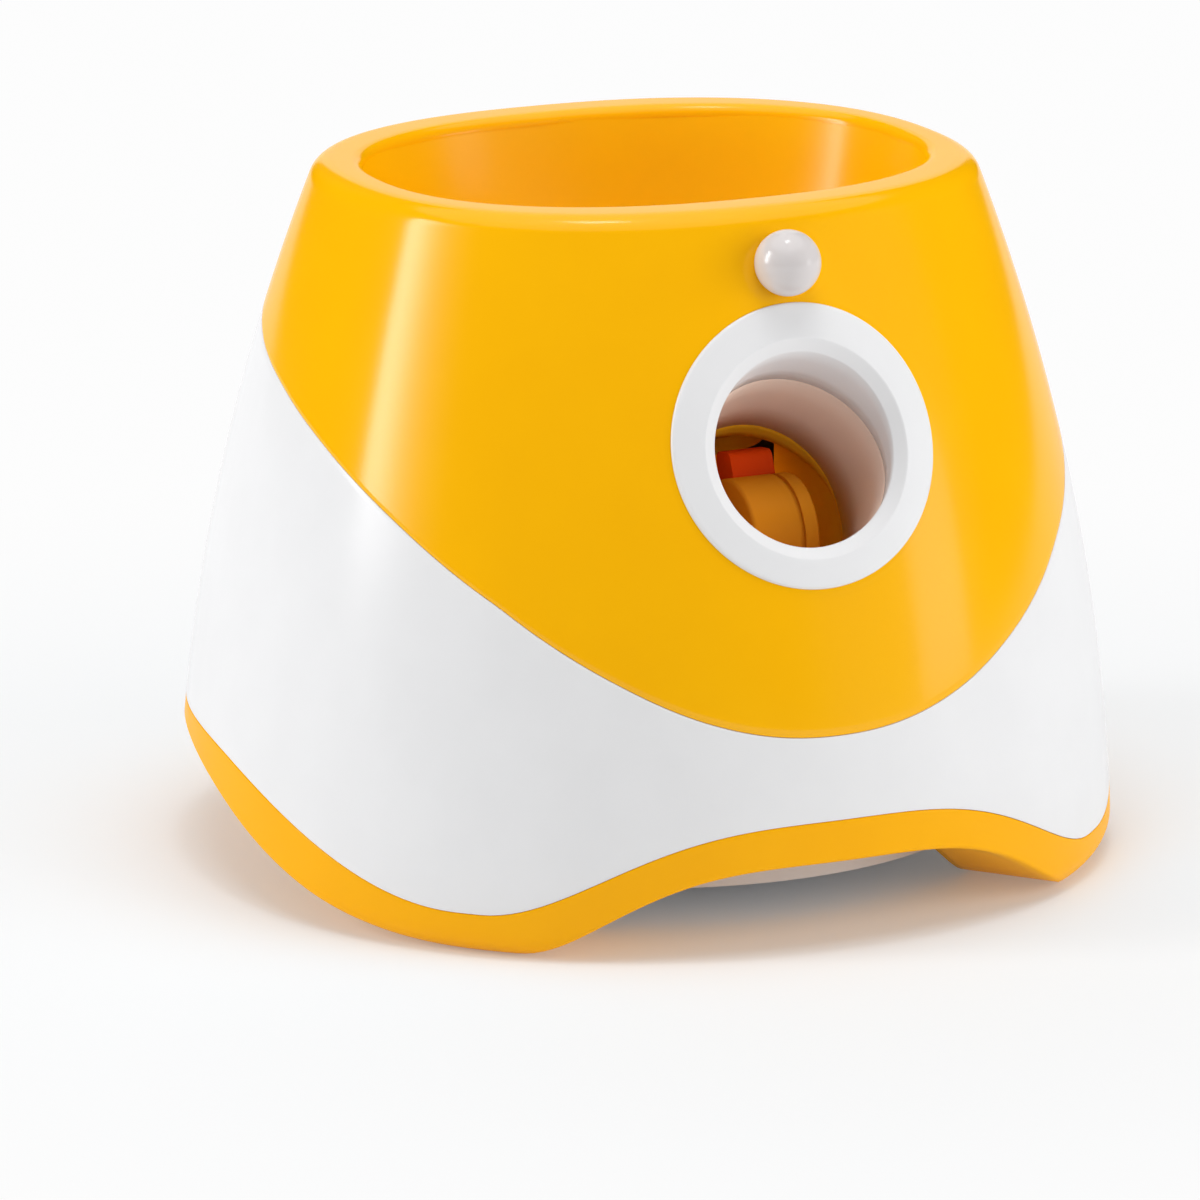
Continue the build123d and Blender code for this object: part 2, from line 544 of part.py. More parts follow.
apron_side = CHAMBER_R + CHAMBER_WALL / 2
chamber += apron & block(-apron_side, apron_side, CHUTE_Y - 2 * CHAMBER_R, CHUTE_Y, 0, HEIGHT)
chamber -= block(CHAMBER_R - 1, chamber_out, NOTCH_FRONT_Y, NOTCH_BACK_Y, NOTCH_LOW_Z,
                 CHAMBER_TOP_Z - APRON_DROP)
switch_slot = block(-chamber_out, -CHAMBER_R, CHUTE_Y - 3, CHUTE_Y + 3, 110, 121)
chamber -= switch_slot
half_room = block(0.1, 80, -BASE_DEPTH, BASE_DEPTH, 0, HEIGHT)
save(chamber & half_room, "chamber_right")
left_half = chamber & mirror(half_room, Plane.YZ)
switch_top = SWITCH_Z + SWITCH_HEIGHT
switch_peg_z = SWITCH_Z + SWITCH_HEIGHT / 2 - 0.5
switch_peg_ys = (CHUTE_Y - 8, CHUTE_Y + 8)
switch_face = -chamber_out - SWITCH_OUT
switch_back = switch_face - SWITCH_DEPTH
for peg_y in switch_peg_ys:
    left_half += rod(peg_y, switch_peg_z, 2 * SWITCH_PEG_R, switch_face + 0.2, -chamber_out)
    left_half += rod(peg_y, switch_peg_z, SWITCH_PEG_R, switch_back + 0.6, -chamber_out)
save(left_half, "chamber_left")

# ---- ball switch on the chute's left wall, and the feeler that a ball pushes aside ----
switch = block(switch_back, switch_face, CHUTE_Y - SWITCH_LENGTH / 2, CHUTE_Y + SWITCH_LENGTH / 2,
               SWITCH_Z, switch_top)
for peg_y in switch_peg_ys:
    switch -= rod(peg_y, switch_peg_z, SWITCH_PEG_R + 0.1, switch_back - 1, switch_face + 1)
for pin_y in (CHUTE_Y - 7, CHUTE_Y, CHUTE_Y + 7):
    switch += block(switch_back - 3.5, switch_back, pin_y - 0.3, pin_y + 0.3,
                    switch_top - 3.5, switch_top - 1.5)
feeler_x = -chamber_out - FEELER_OUT
feeler_half = 2.0
ear_end = feeler_half + 1.5
for side in (-1, 1):
    near, far = sorted((CHUTE_Y + side * (feeler_half + GAP), CHUTE_Y + side * ear_end))
    switch += block(switch_face, feeler_x + 1, near, far, FEELER_HINGE_Z - 1.3, FEELER_HINGE_Z + 1.3)
switch += peg(feeler_x, FEELER_HINGE_Z, FEELER_PIN_R, CHUTE_Y - ear_end, CHUTE_Y + ear_end)
save(switch, "ball_switch")

feeler_low = SWITCH_Z - 1.5
feeler = block(feeler_x - 0.4, feeler_x + 0.4, CHUTE_Y - feeler_half, CHUTE_Y + feeler_half,
               feeler_low, FEELER_HINGE_Z)
feeler += peg(feeler_x, FEELER_HINGE_Z, FEELER_PIN_R + 0.6, CHUTE_Y - feeler_half, CHUTE_Y + feeler_half)
feeler -= peg(feeler_x, FEELER_HINGE_Z, FEELER_PIN_R + 0.1, CHUTE_Y - 5, CHUTE_Y + 5)
nose_x = -CHAMBER_R + 1.6
nose = [
    (feeler_x, feeler_low),
    (nose_x, feeler_low + 1),
    (nose_x, feeler_low + 3),
    (feeler_x, feeler_low + 5),
]
nose_face = Plane.XZ.offset(-CHUTE_Y + feeler_half) * make_face(Polyline(*nose, close=True))
feeler += extrude(nose_face, -2 * feeler_half)
save(feeler, "switch_lever")

# ---- striker ----
def striker_point(out, back):
    """(y, z) of a point on the striker at rest: out from the pivot, and back from the arm's line."""
    return polar(polar(pivot, out, rest_bearing), back, rest_bearing - 90)


half_arm = ARM_DEPTH / 2
arm_line = [
    striker_point(0, -half_arm),
    striker_point(arm_length - 10, -half_arm),
    striker_point(arm_length + 6, 0),
    striker_point(tip_reach, ARM_TIP),
    striker_point(tip_reach, 3 * ARM_TIP),
    striker_point(arm_length + 4, 2 * half_arm),
    striker_point(arm_length - 10, half_arm),
    striker_point(0, half_arm),
]
arm = side_prism(arm_line, -ARM_WIDTH / 2, ARM_WIDTH / 2)
tip_middle = Vector(0, *striker_point(tip_reach, 2 * ARM_TIP))
tip_corners = arm.edges().filter_by(Axis.X).sort_by_distance(tip_middle)
arm = fillet(tip_corners[:2], 2.5)
arm += rod(*pivot, HUB_R, -ARM_WIDTH / 2, ARM_WIDTH / 2)
arm -= rod(*pivot, STRIKER_SHAFT_R + 0.02, -ARM_WIDTH, ARM_WIDTH)
for side in (-1, 1):
    near, far = sorted((side * (ARM_WIDTH / 2 - 3.5), side * ARM_WIDTH / 2))
    pocket = [striker_point(HUB_R + 5, -2.5), striker_point(arm_length - 20, -2.5),
              striker_point(arm_length - 20, 2.5), striker_point(HUB_R + 5, 2.5)]
    arm -= side_prism(pocket, near, far)
save(arm, "striker_arm")

head_centre = striker_point(arm_length, 0)
head = rod(*head_centre, HEAD_R, -HEAD_WIDTH / 2, HEAD_WIDTH / 2)
head = fillet(head.edges().filter_by(GeomType.CIRCLE), 1.0)
groove = rod(*head_centre, HEAD_R + 1, 4.2, 5.6) - rod(*head_centre, HEAD_R - 0.9, 4.2, 5.6)
head -= groove
head -= offset(side_prism(arm_line, -ARM_WIDTH / 2, ARM_WIDTH / 2), 0.05, kind=Kind.INTERSECTION)
save(head, "striker_head")

shaft_left, lever_low = -chamber_out - 2.6, PLATE_X + PLATE_THICK + 2.7
shaft_right = lever_low + LEVER_THICK + 1
save(rod(*pivot, STRIKER_SHAFT_R, shaft_left, shaft_right), "striker_shaft")

bushes = []
for side in (-1, 1):
    near, far = sorted((side * (CHAMBER_R - 4.3), side * chamber_out))
    bushes.append(rod(*pivot, BUSH_R, near, far) - rod(*pivot, STRIKER_SHAFT_R + SHAFT_PLAY, near, far))
save(Compound(bushes), "striker_bushes")

coil_r, coil_wire = 7.6, 1.0
coil = Helix(2.6, 13.0, coil_r)
coil_start = Plane(origin=coil @ 0, z_dir=coil % 0)
coil_body = sweep(coil_start * Circle(coil_wire), path=coil)
along_x = Plane(origin=(-21.2, *pivot), x_dir=(0, 1, 0), z_dir=(1, 0, 0))
save(along_x.location * coil_body, "striker_spring")

bumper_corners = ((-5, 0.1), (5, 0.1), (5, 14), (-5, 14))
bumper_outline = [striker_point(bumper_out + along, -half_arm - away) for along, away in bumper_corners]
bumper_body = side_prism(bumper_outline, -6, 6)
bumper_body -= rod(*bumper_point, 4.02, -10, 10)
save(bumper_body, "striker_bumper")

# ---- cocking lever and gear train, outside the right web ----
cam_centre = polar(pivot, CAM_OFFSET, CAM_BEARING)
second_centre = polar(cam_centre, CAM_MODULE * (CAM_TEETH + SECOND_PINION_TEETH) / 2, SECOND_BEARING)
first_centre = polar(second_centre, SECOND_MODULE * (SECOND_TEETH + FIRST_PINION_TEETH) / 2, FIRST_BEARING)
motor_centre = polar(first_centre, FIRST_MODULE * (FIRST_TEETH + MOTOR_TEETH) / 2, MOTOR_BEARING)

lever_high = lever_low + LEVER_THICK
cam_x = lever_high + 2
cam_high = cam_x + CAM_WIDTH
second_x = cam_high + 2
second_high = second_x + SECOND_WIDTH
first_x = second_high + 2
first_high = first_x + FIRST_WIDTH
outer_plate_x = first_high + 3
lever_bearing = CAM_BEARING + half_swing

lever_end = polar(pivot, LEVER_LENGTH - LEVER_WIDTH / 2, lever_bearing)
sides = [
    polar(pivot, LEVER_WIDTH / 2, lever_bearing - 90),
    polar(lever_end, LEVER_WIDTH / 2, lever_bearing - 90),
    polar(lever_end, LEVER_WIDTH / 2, lever_bearing + 90),
    polar(pivot, LEVER_WIDTH / 2, lever_bearing + 90),
]
lever = side_prism(sides, lever_low, lever_high) + rod(*lever_end, LEVER_WIDTH / 2, lever_low, lever_high)
lever += rod(*pivot, HUB_R - 2, lever_low, lever_high)
lever -= rod(*pivot, STRIKER_SHAFT_R + 0.02, lever_low, lever_high)
save(lever, "cocking_lever")


def gear(centre, teeth, module, bearing, x_low, x_high, bore):
    """A spur gear along X with one tooth's middle at a bearing; the flanks are involutes."""
    pitch_r = teeth * module / 2
    base_r = pitch_r * math.cos(PRESSURE)
    half_at_pitch = math.pi / (2 * teeth) * TOOTH_FILL
    involute_at_pitch = math.tan(PRESSURE) - PRESSURE
    points = []
    tip_r = pitch_r + ADDENDUM * module
    root_r = pitch_r - DEDENDUM * module
    start_r = max(base_r, root_r + 0.05)
    for k in range(teeth):
        middle = math.radians(bearing) + 2 * math.pi * k / teeth
        flank = []
        for step in range(3):
            radius = start_r + (tip_r - start_r) * step / 2
            roll = math.acos(base_r / radius)
            flank.append((radius, half_at_pitch + involute_at_pitch - math.tan(roll) + roll))
        flank.insert(0, (root_r, flank[0][1]))
        for radius, half in flank:
            points.append((radius * math.cos(middle - half), radius * math.sin(middle - half)))
        for radius, half in reversed(flank):
            points.append((radius * math.cos(middle + half), radius * math.sin(middle + half)))
    blank = Plane.YZ.offset(x_low) * Pos(*centre) * make_face(Polyline(*points, close=True))
    return extrude(blank, x_high - x_low, dir=(1, 0, 0)) - rod(*centre, bore, x_low, x_high)


def lightened(wheel, centre, x_low, x_high, circle, hole_r):
    """The wheel with six round holes through its web."""
    for k in range(6):
        wheel -= rod(*polar(centre, circle, 60 * k + 30), hole_r, x_low, x_high)
    return wheel


def meshing(bearing, teeth):
    """Bearing of a tooth on a gear whose gap faces back along a bearing."""
    return bearing + 180 + 180 / teeth


cam_pin_at = polar(cam_centre, PIN_CIRCLE, PIN_BEARING)
cam = gear(cam_centre, CAM_TEETH, CAM_MODULE, SECOND_BEARING, cam_x, cam_high, CAM_SHAFT_R + 0.02)
cam = lightened(cam, cam_centre, cam_x, cam_high, 12.5, 3.5)
cam -= rod(*cam_pin_at, PIN_R + 0.02, cam_x, cam_high)
save(cam, "cam_gear")
save(rod(*cam_pin_at, PIN_R, lever_low + 0.5, cam_high), "cam_pin")

second = gear(second_centre, SECOND_TEETH, SECOND_MODULE, FIRST_BEARING, second_x, second_high,
              SECOND_SHAFT_R + 0.02)
second = lightened(second, second_centre, second_x, second_high, 12, 2.5)
second += gear(second_centre, SECOND_PINION_TEETH, CAM_MODULE, meshing(SECOND_BEARING, SECOND_PINION_TEETH),
               cam_x - 0.5, second_x, SECOND_SHAFT_R + 0.02)
save(second, "second_gear")

first = gear(first_centre, FIRST_TEETH, FIRST_MODULE, MOTOR_BEARING, first_x, first_high,
             FIRST_SHAFT_R + 0.02)
first += gear(first_centre, FIRST_PINION_TEETH, SECOND_MODULE, meshing(FIRST_BEARING, FIRST_PINION_TEETH),
              second_x - 0.5, first_x, FIRST_SHAFT_R + 0.02)
save(first, "first_gear")
save(gear(motor_centre, MOTOR_TEETH, FIRST_MODULE, meshing(MOTOR_BEARING, MOTOR_TEETH), first_x - 0.5,
          first_high + 1, MOTOR_SHAFT_R + 0.02), "motor_pinion")

plate_high = outer_plate_x + PLATE_THICK
save(rod(*cam_centre, CAM_SHAFT_R, PLATE_X, plate_high), "cam_shaft")
save(rod(*second_centre, SECOND_SHAFT_R, PLATE_X, plate_high), "second_shaft")
save(rod(*first_centre, FIRST_SHAFT_R, PLATE_X, plate_high), "first_shaft")
save(rod(*motor_centre, MOTOR_SHAFT_R, first_x - 0.5, plate_high + 4), "motor_shaft")

plate_outline = [
    (cam_centre[0] - 26, pan_top + 3),
    (cam_centre[0] - 26, cam_centre[1] + 14),
    (cam_centre[0] + 6, first_centre[1] + 14),
    (motor_centre[0] + 6, first_centre[1] + 14),
    (motor_centre[0] + 16, first_centre[1] + 4),
    (motor_centre[0] + 16, motor_centre[1] - 16),
    (second_centre[0] + 6, bay_roof_z + BAY_WALL + 2),
    (bay_front_y - BAY_WALL - 2, pan_top + 3),
]
post_points = [
    (cam_centre[0] - 21, pan_top + 6.5),
    (cam_centre[0] - 20.5, cam_centre[1] + 24.5),
    (cam_centre[0] + 8, first_centre[1] + 9),
    (motor_centre[0] + 5, first_centre[1] + 8.5),
    (motor_centre[0] + 12.5, motor_centre[1] - 12.5),
]
shafts = ((cam_centre, CAM_SHAFT_R), (second_centre, SECOND_SHAFT_R), (first_centre, FIRST_SHAFT_R))
for name, low in (("gear_plate_inner", PLATE_X), ("gear_plate_outer", outer_plate_x)):
    plate = side_prism(plate_outline, low, low + PLATE_THICK)
    for centre, shaft_r in shafts:
        plate -= rod(*centre, shaft_r + SHAFT_PLAY, low, low + PLATE_THICK)
    for point in post_points:
        plate -= rod(*point, SCREW_R + 0.1, low, low + PLATE_THICK)
    if name == "gear_plate_outer":
        plate -= rod(*motor_centre, MOTOR_NOSE_R + 0.1, low, low + PLATE_THICK)
    save(plate, name)

posts, post_screws = [], []
for point in post_points:
    post = rod(*point, SPACER_R, PLATE_X + PLATE_THICK, outer_plate_x)
    posts.append(post - rod(*point, SCREW_R, outer_plate_x - 10, outer_plate_x))
    head = rod(*point, SCREW_HEAD_R, plate_high, plate_high + 1.8)
    post_screws.append(head + rod(*point, SCREW_R, outer_plate_x - 8, plate_high))
save(Compound(posts), "plate_spacers")
save(Compound(post_screws), "plate_screws")

motor = rod(*motor_centre, MOTOR_R, plate_high + 0.1, plate_high + MOTOR_LENGTH)
motor = chamfer(motor.edges().filter_by(GeomType.CIRCLE), 1.0)
motor += rod(*motor_centre, MOTOR_NOSE_R, plate_high - 1.5, plate_high + 0.1)
motor += rod(*motor_centre, 4, plate_high + MOTOR_LENGTH, plate_high + MOTOR_LENGTH + 2)
motor -= rod(*motor_centre, MOTOR_SHAFT_R + SHAFT_PLAY, plate_high - 2, plate_high + 4.5)
motor_back = plate_high + MOTOR_LENGTH
for tag_y in (motor_centre[0] - 8, motor_centre[0] + 8):
    motor += block(motor_back, motor_back + 4, tag_y - 0.3, tag_y + 0.3,
                   motor_centre[1] - 1.5, motor_centre[1] + 1.5)
save(motor, "motor")

# ---- motion sensor ----
cap_r = (LENS_R ** 2 + LENS_RISE ** 2) / (2 * LENS_RISE)
seat = WALL * math.cos(LENS_TILT) + 0.8
cap_middle = Pos(0, 0, LENS_RISE - cap_r)
lens = cap_middle * Sphere(cap_r) & Box(40, 40, 40, align=BOTTOM)
lens += Cylinder(LENS_R, seat, align=TOP)
lens += Pos(0, 0, -seat) * Cylinder(LENS_R + 2.5, 1.5, align=TOP)
lens -= cap_middle * Sphere(cap_r - LENS_WALL)
lens -= Cylinder(LENS_R - LENS_WALL, seat + 2, align=TOP)
save(lens_plane().location * lens, "sensor_lens")

sensor_board = Box(34, 15, BOARD_THICK, align=TOP)
for side in (-1, 1):
    sensor_board -= Pos(side * SENSOR_POST_X, 0, 0) * Cylinder(SENSOR_PEG_R + 0.15, BOARD_THICK, align=TOP)
save(lens_plane(SENSOR_DEPTH) * sensor_board, "sensor_board")
can = Cylinder(4.6, 4.2, align=BOTTOM) + Cylinder(5.1, 0.6, align=BOTTOM)
save(lens_plane(SENSOR_DEPTH) * can, "sensor_can")

# ---- rear control panel ----
def wall_y(x, z, growth=0.0):
    """Where the back wall's outside is at a given X and Z."""
    square = BASE_SQUARE + (RIM_SQUARE - BASE_SQUARE) * z / HEIGHT
    share = (1 - abs(x / (half_width(z) + growth)) ** square) ** (1 / square)
    return (half_depth(z) + growth) * share


panel_y = wall_y(0, PANEL_Z)
guide_y = panel_y - 13
button_low_y = guide_y - 1.6
board_y = guide_y - 8
tact_switch_y = button_low_y - BUTTON_TRAVEL - 0.7
power_x, distance_x, inlet_x, light_x = -BUTTON_SPACING, 0.0, BUTTON_SPACING, -BUTTON_SPACING / 2
light_z = PANEL_Z + 12
panel_outside = body(-0.4) & back_panel(PANEL_WIDTH, PANEL_HEIGHT)
panel = panel_outside - body(-0.4 - WALL)
guides = [peg(x, PANEL_Z, BUTTON_R + 2, guide_y, panel_y) for x in (power_x, distance_x)]
for x in (-31, 11):
    guides += [peg(x, z, 3, board_y + BOARD_THICK, panel_y) for z in (PANEL_Z - 14, PANEL_Z + 14)]
panel += [guide & body(-1.5) for guide in guides]
for x in (power_x, distance_x):
    panel -= peg(x, PANEL_Z, BUTTON_R + 0.15, board_y, panel_y + 10)
panel -= peg(inlet_x, PANEL_Z, INLET_R + 0.1, board_y, panel_y + 10)
panel -= peg(light_x, light_z, 2.1, board_y, panel_y + 10)
save(panel, "rear_panel")

for name, x in (("power_button", power_x), ("distance_button", distance_x)):
    button = peg(x, PANEL_Z, BUTTON_R, guide_y - 0.2, wall_y(x, PANEL_Z) + BUTTON_PROUD)
    button = fillet(button.edges().group_by(Axis.Y)[-1], 1.0)
    button += peg(x, PANEL_Z, BUTTON_R + 1.4, button_low_y, guide_y - 0.2)
    save(button, name)

inlet = peg(inlet_x, PANEL_Z, INLET_R, panel_y - 18, wall_y(inlet_x, PANEL_Z) + 0.2)
inlet -= peg(inlet_x, PANEL_Z, INLET_BORE_R, panel_y - 12, panel_y + 5)
inlet += peg(inlet_x, PANEL_Z, 1.0, panel_y - 12, panel_y - 4)
save(inlet, "power_inlet")
light = peg(light_x, light_z, 2.0, board_y + BOARD_THICK + 0.1, wall_y(light_x, light_z) + 0.3)
save(light, "indicator_light")

def chip(x, z, wide, high, deep):
    """A component on the board's inner side."""
    return block(x - wide / 2, x + wide / 2, board_y - deep, board_y, z - high / 2, z + high / 2)


board = block(BOARD_LOW_X, BOARD_HIGH_X, board_y, board_y + BOARD_THICK,
              PANEL_Z - BOARD_HALF_HEIGHT, PANEL_Z + BOARD_HALF_HEIGHT)
controller = chip(-20, PANEL_Z - 6, 12, 12, 2)
motor_driver = chip(4, PANEL_Z + 8, 9, 6, 2)
relay = chip(-4, PANEL_Z - 14, 14, 8, 9)
capacitor = chip(10, PANEL_Z - 10, 8, 8, 11)
plug_header = chip(-28, PANEL_Z + 12, 6, 8, 7)
board += [controller, motor_driver, relay, capacitor, plug_header]
for x in (power_x, distance_x):
    board += block(x - 3, x + 3, board_y + BOARD_THICK, tact_switch_y, PANEL_Z - 3, PANEL_Z + 3)
save(board, "main_board")
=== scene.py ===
import json
import math

import bmesh
import bpy
from mathutils import Matrix, Vector


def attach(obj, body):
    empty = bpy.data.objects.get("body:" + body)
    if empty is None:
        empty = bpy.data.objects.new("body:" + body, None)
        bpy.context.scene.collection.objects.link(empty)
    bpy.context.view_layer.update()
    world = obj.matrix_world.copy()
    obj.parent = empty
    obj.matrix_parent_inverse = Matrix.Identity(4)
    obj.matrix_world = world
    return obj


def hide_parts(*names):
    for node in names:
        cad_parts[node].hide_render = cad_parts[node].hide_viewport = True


bl_info = {
    "name": "Ball Launcher",
    "version": (1, 0, 0),
    "blender": (4, 5, 0),
    "location": "3D View > Sidebar > Launcher",
    "description": "Dresses an automatic ball launcher: shells, hopper, tube, striker and its stage",
    "category": "Object",
}

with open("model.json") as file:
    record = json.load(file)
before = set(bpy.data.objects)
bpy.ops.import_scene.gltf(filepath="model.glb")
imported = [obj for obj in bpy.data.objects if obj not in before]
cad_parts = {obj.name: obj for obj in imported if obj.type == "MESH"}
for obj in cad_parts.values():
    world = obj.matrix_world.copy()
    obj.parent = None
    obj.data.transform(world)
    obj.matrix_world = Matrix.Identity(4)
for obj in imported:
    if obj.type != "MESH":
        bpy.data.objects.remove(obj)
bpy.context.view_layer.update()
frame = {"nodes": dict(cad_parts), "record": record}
MM = 0.001

# ---- the body's form, in millimetres; turns are measured from the front ----
HEIGHT = 200.0
WALL = 2.8
FOOT_ROUND_FRONT, FOOT_ROUND_BACK = 6.0, 22.0   # the roll towards the feet
WIDTHS = (134.0, 121.5, 93.0)    # half the width at the floor, half way up and at the top
DEPTHS = (130.93, 117.0, 80.5)   # half the depth there
OVAL_POWER, OVAL_GAIN = 2.1, 0.2    # the outline's squareness at the floor, and what it gains up to the top
OPENING = (81.0, 65.0)
OPENING_POWER = 2.3
RIM_ROUND = 7.5
RIM_LEAN = math.radians(20)
CREASE_R = 3.4            # rounding of the rim's inner edge
BOWL_OVERLAP = 0.4        # this far the rim's inner edge reaches over the bowl
SEAM = 0.08               # gap between two shells
AROUND = 288              # points round a shell
SIDE_ROWS = 60            # rows of a shell's side
BISECTIONS = 40
SHARP_EDGE = math.radians(35)   # edges sharper than this are shaded crisp
# the parting line seen from the side: (y, z) from the front to the back
PARTING = ((-125.8, 59.3), (-120.5, 65.8), (-112.7, 74.7), (-106.5, 81.0), (-97.0, 89.8), (-86.0, 99.0),
           (-58.0, 117.2), (-29.0, 131.4), (0.0, 141.9), (28.0, 150.7), (60.0, 161.5), (91.5, 176.1))

# ---- the foot band ----
FOOT_ANGLE = 48.0         # the front feet's middles; the third foot is at the back
# heights at the feet, at the front and at the sides; how steep the wave is at the front and at the sides;
# and how many degrees from a foot's middle it starts to rise at the front and at the sides
BAND_WAVE = (12.0, 36.5, 42.0, 1.6, 1.5, 3.0, 0.0)
SOLE_WAVE = (0.3, 25.0, 36.0, 1.8, 0.97, 6.0, -3.0)
BAND_ROWS, SOLE_ROWS = 23, 6
BAND_FLOOR = 6.0          # thickness of the band's floor
WELL_R = 100.3            # the round well for the base pan
SKIRT_Z = 22.0            # the well's wall reaches down to here, over the pan's wall
TOE = 0.8                 # height of the chamfer between the side and the sole

# ---- the launch tube ----
RING_AROUND = 192         # points round the flange, the tube and the hole for them
LAUNCH_ANGLE = math.radians(40)
FLANGE_TILT = math.radians(20)
MOUTH_Z = 138.0
FLANGE_R = 39.8
FLANGE_PROUD = 0.8
FLANGE_EDGE = 0.7         # rounding of the flange's outer edge
FLANGE_SEAT = 2.5         # depth of the flange's back in the wall
FLANGE_FIT = 0.04         # the hole in the shell is larger by this much
HOLE_DEPTH = 60.0
MOUTH_R = 26.9
BEVEL_R = 30.8
BEVEL_LOW = 1.0           # the bevel's middle is this far below the flange's
SPIGOT = 12.0             # along the launch axis, to where the tube begins
SPIGOT_MORE = 5.0         # and this much more at the bottom
TUBE_R = 26.5
TUBE_WALL = 2.6
TUBE_END = 45.2
TUBE_CUT = 6.7            # the tube's end is cut back by this much at its top

# ---- the rear panel's window ----
PANEL_Y, PANEL_Z = 120.0, 78.0
PANEL_WINDOW = (74.6, 60.0, 40.6)
PANEL_CORNER = 8.0

# ---- the sensor's lens ----
LENS_Z = 184.6
LENS_R = 9.25
LENS_PROUD = 4.6
LENS_NECK = math.radians(-35)   # where the ball goes into its neck
LENS_ROWS = 30


def through_three(u, low, middle, high):
    """A smooth profile through its value at the base, half way up and at the top."""
    return low + (4 * middle - 3 * low - high) * u + (2 * low - 4 * middle + 2 * high) * u * u


def oval(z, growth=0.0):
    """Half width, half depth and squareness of the body's outline at height z, grown by an amount."""
    share = z / HEIGHT
    width = through_three(share, *WIDTHS) + growth
    depth = through_three(share, *DEPTHS) + growth
    return width, depth, OVAL_POWER + OVAL_GAIN * z / HEIGHT


def oval_reach(turn, width, depth, power):
    """Distance of an oval from its middle, in a direction from the front."""
    across = abs(math.sin(turn) / width) ** power
    along = abs(math.cos(turn) / depth) ** power
    return (across + along) ** (-1 / power)


def around_axis(turn, reach, z):
    """A point at a distance from the body's axis, in a direction from the front."""
    return Vector((reach * math.sin(turn), -reach * math.cos(turn), z))


def side_point(turn, z, growth=0.0):
    """A point on the body's side, with the roll towards the feet."""
    middle = (FOOT_ROUND_FRONT + FOOT_ROUND_BACK) / 2
    roll = middle + (FOOT_ROUND_FRONT - middle) * math.cos(turn)
    if z < roll:
        growth -= roll - math.sqrt(max(0.0, roll ** 2 - (roll - z) ** 2))
    return around_axis(turn, oval_reach(turn, *oval(z, growth)), z)


def wave(turn, foot, front, side, front_steep, side_steep, front_flat, side_flat):
    """Height of the foot band's edge in a direction from the front: low at the feet, high between."""
    angle = abs((math.degrees(turn) + 180) % 360 - 180)
    if angle < FOOT_ANGLE:
        share = angle / (FOOT_ANGLE - front_flat)
        rise, steep = front - foot, front_steep
    else:
        half_span = (180 - FOOT_ANGLE) / 2
        share = abs(angle - FOOT_ANGLE - half_span) / (half_span - side_flat)
        rise, steep = side - foot, side_steep
    return foot + rise * math.cos(math.pi / 2 * min(1.0, share) ** steep) ** 2


def parting_z(y):
    """Height of the parting line at a distance behind the middle, on a smooth curve through its points."""
    if y <= PARTING[0][0]:
        return PARTING[0][1]
    for k in range(len(PARTING) - 1):
        (y0, z0), (y1, z1) = PARTING[k], PARTING[k + 1]
        if y <= y1:
            break
    before = PARTING[max(0, k - 1)]
    after = PARTING[min(len(PARTING) - 1, k + 2)]
    slope0 = (z1 - before[1]) / (y1 - before[0])
    slope1 = (after[1] - z0) / (after[0] - y0)
    step = y1 - y0
    t = min(1.0, max(0.0, (y - y0) / step))
    return ((2 * t ** 3 - 3 * t ** 2 + 1) * z0 + (t ** 3 - 2 * t ** 2 + t) * step * slope0
            + (3 * t ** 2 - 2 * t ** 3) * z1 + (t ** 3 - t ** 2) * step * slope1)


def parting_height(turn):
    """Height at which the parting line crosses the side, in a direction from the front."""
    low, high = 40.0, 190.0
    for _ in range(BISECTIONS):
        middle = (low + high) / 2
        if middle > parting_z(side_point(turn, middle).y):
            high = middle
        else:
            low = middle
    return (low + high) / 2


ACROSS = Vector((1.0, 0.0, 0.0))
MOUTH = Vector((0.0, -through_three(MOUTH_Z / HEIGHT, *DEPTHS), MOUTH_Z))
INWARDS = Vector((0.0, math.cos(LAUNCH_ANGLE), -math.sin(LAUNCH_ANGLE)))
LIFT = Vector((0.0, math.sin(LAUNCH_ANGLE), math.cos(LAUNCH_ANGLE)))
FLANGE_OUT = Vector((0.0, -math.cos(FLANGE_TILT), math.sin(FLANGE_TILT)))
FLANGE_UP = Vector((0.0, math.sin(FLANGE_TILT), math.cos(FLANGE_TILT)))


def outside_by(point, growth):
    """Positive where a point is outside the body grown by an amount."""
    width, depth, power = oval(point.z, growth)
    return abs(point.x / width) ** power + abs(point.y / depth) ** power - 1


def launch_point(turn, radius, distance):
    """A point on a circle round the launch axis, at a distance inside the mouth; turns start at the bottom."""
    return MOUTH + INWARDS * distance + (ACROSS * math.sin(turn) - LIFT * math.cos(turn)) * radius


def onto_body(start, direction, growth):
    """Where a line meets the body's side, coming from inside along a direction."""
    near, far = -60.0, 60.0
    for _ in range(BISECTIONS):
        middle = (near + far) / 2
        if outside_by(start + direction * middle, growth) > 0:
            far = middle
        else:
            near = middle
    return start + direction * near


# ---- mesh helpers ----
def formed_sheet(around, across, place):
    """A grid that is bent round into a closed ring; place(turn, row) gives each point."""
    bm = bmesh.new()
    bmesh.ops.create_grid(bm, x_segments=around, y_segments=across, size=0.5)
    for vert in bm.verts:
        turn = (vert.co.x + 0.5) * 2 * math.pi
        row = int(round((vert.co.y + 0.5) * across))
        vert.co = place(turn, row) * MM
    bmesh.ops.remove_doubles(bm, verts=bm.verts, dist=1e-6)
    bmesh.ops.recalc_face_normals(bm, faces=bm.faces)
    return bm


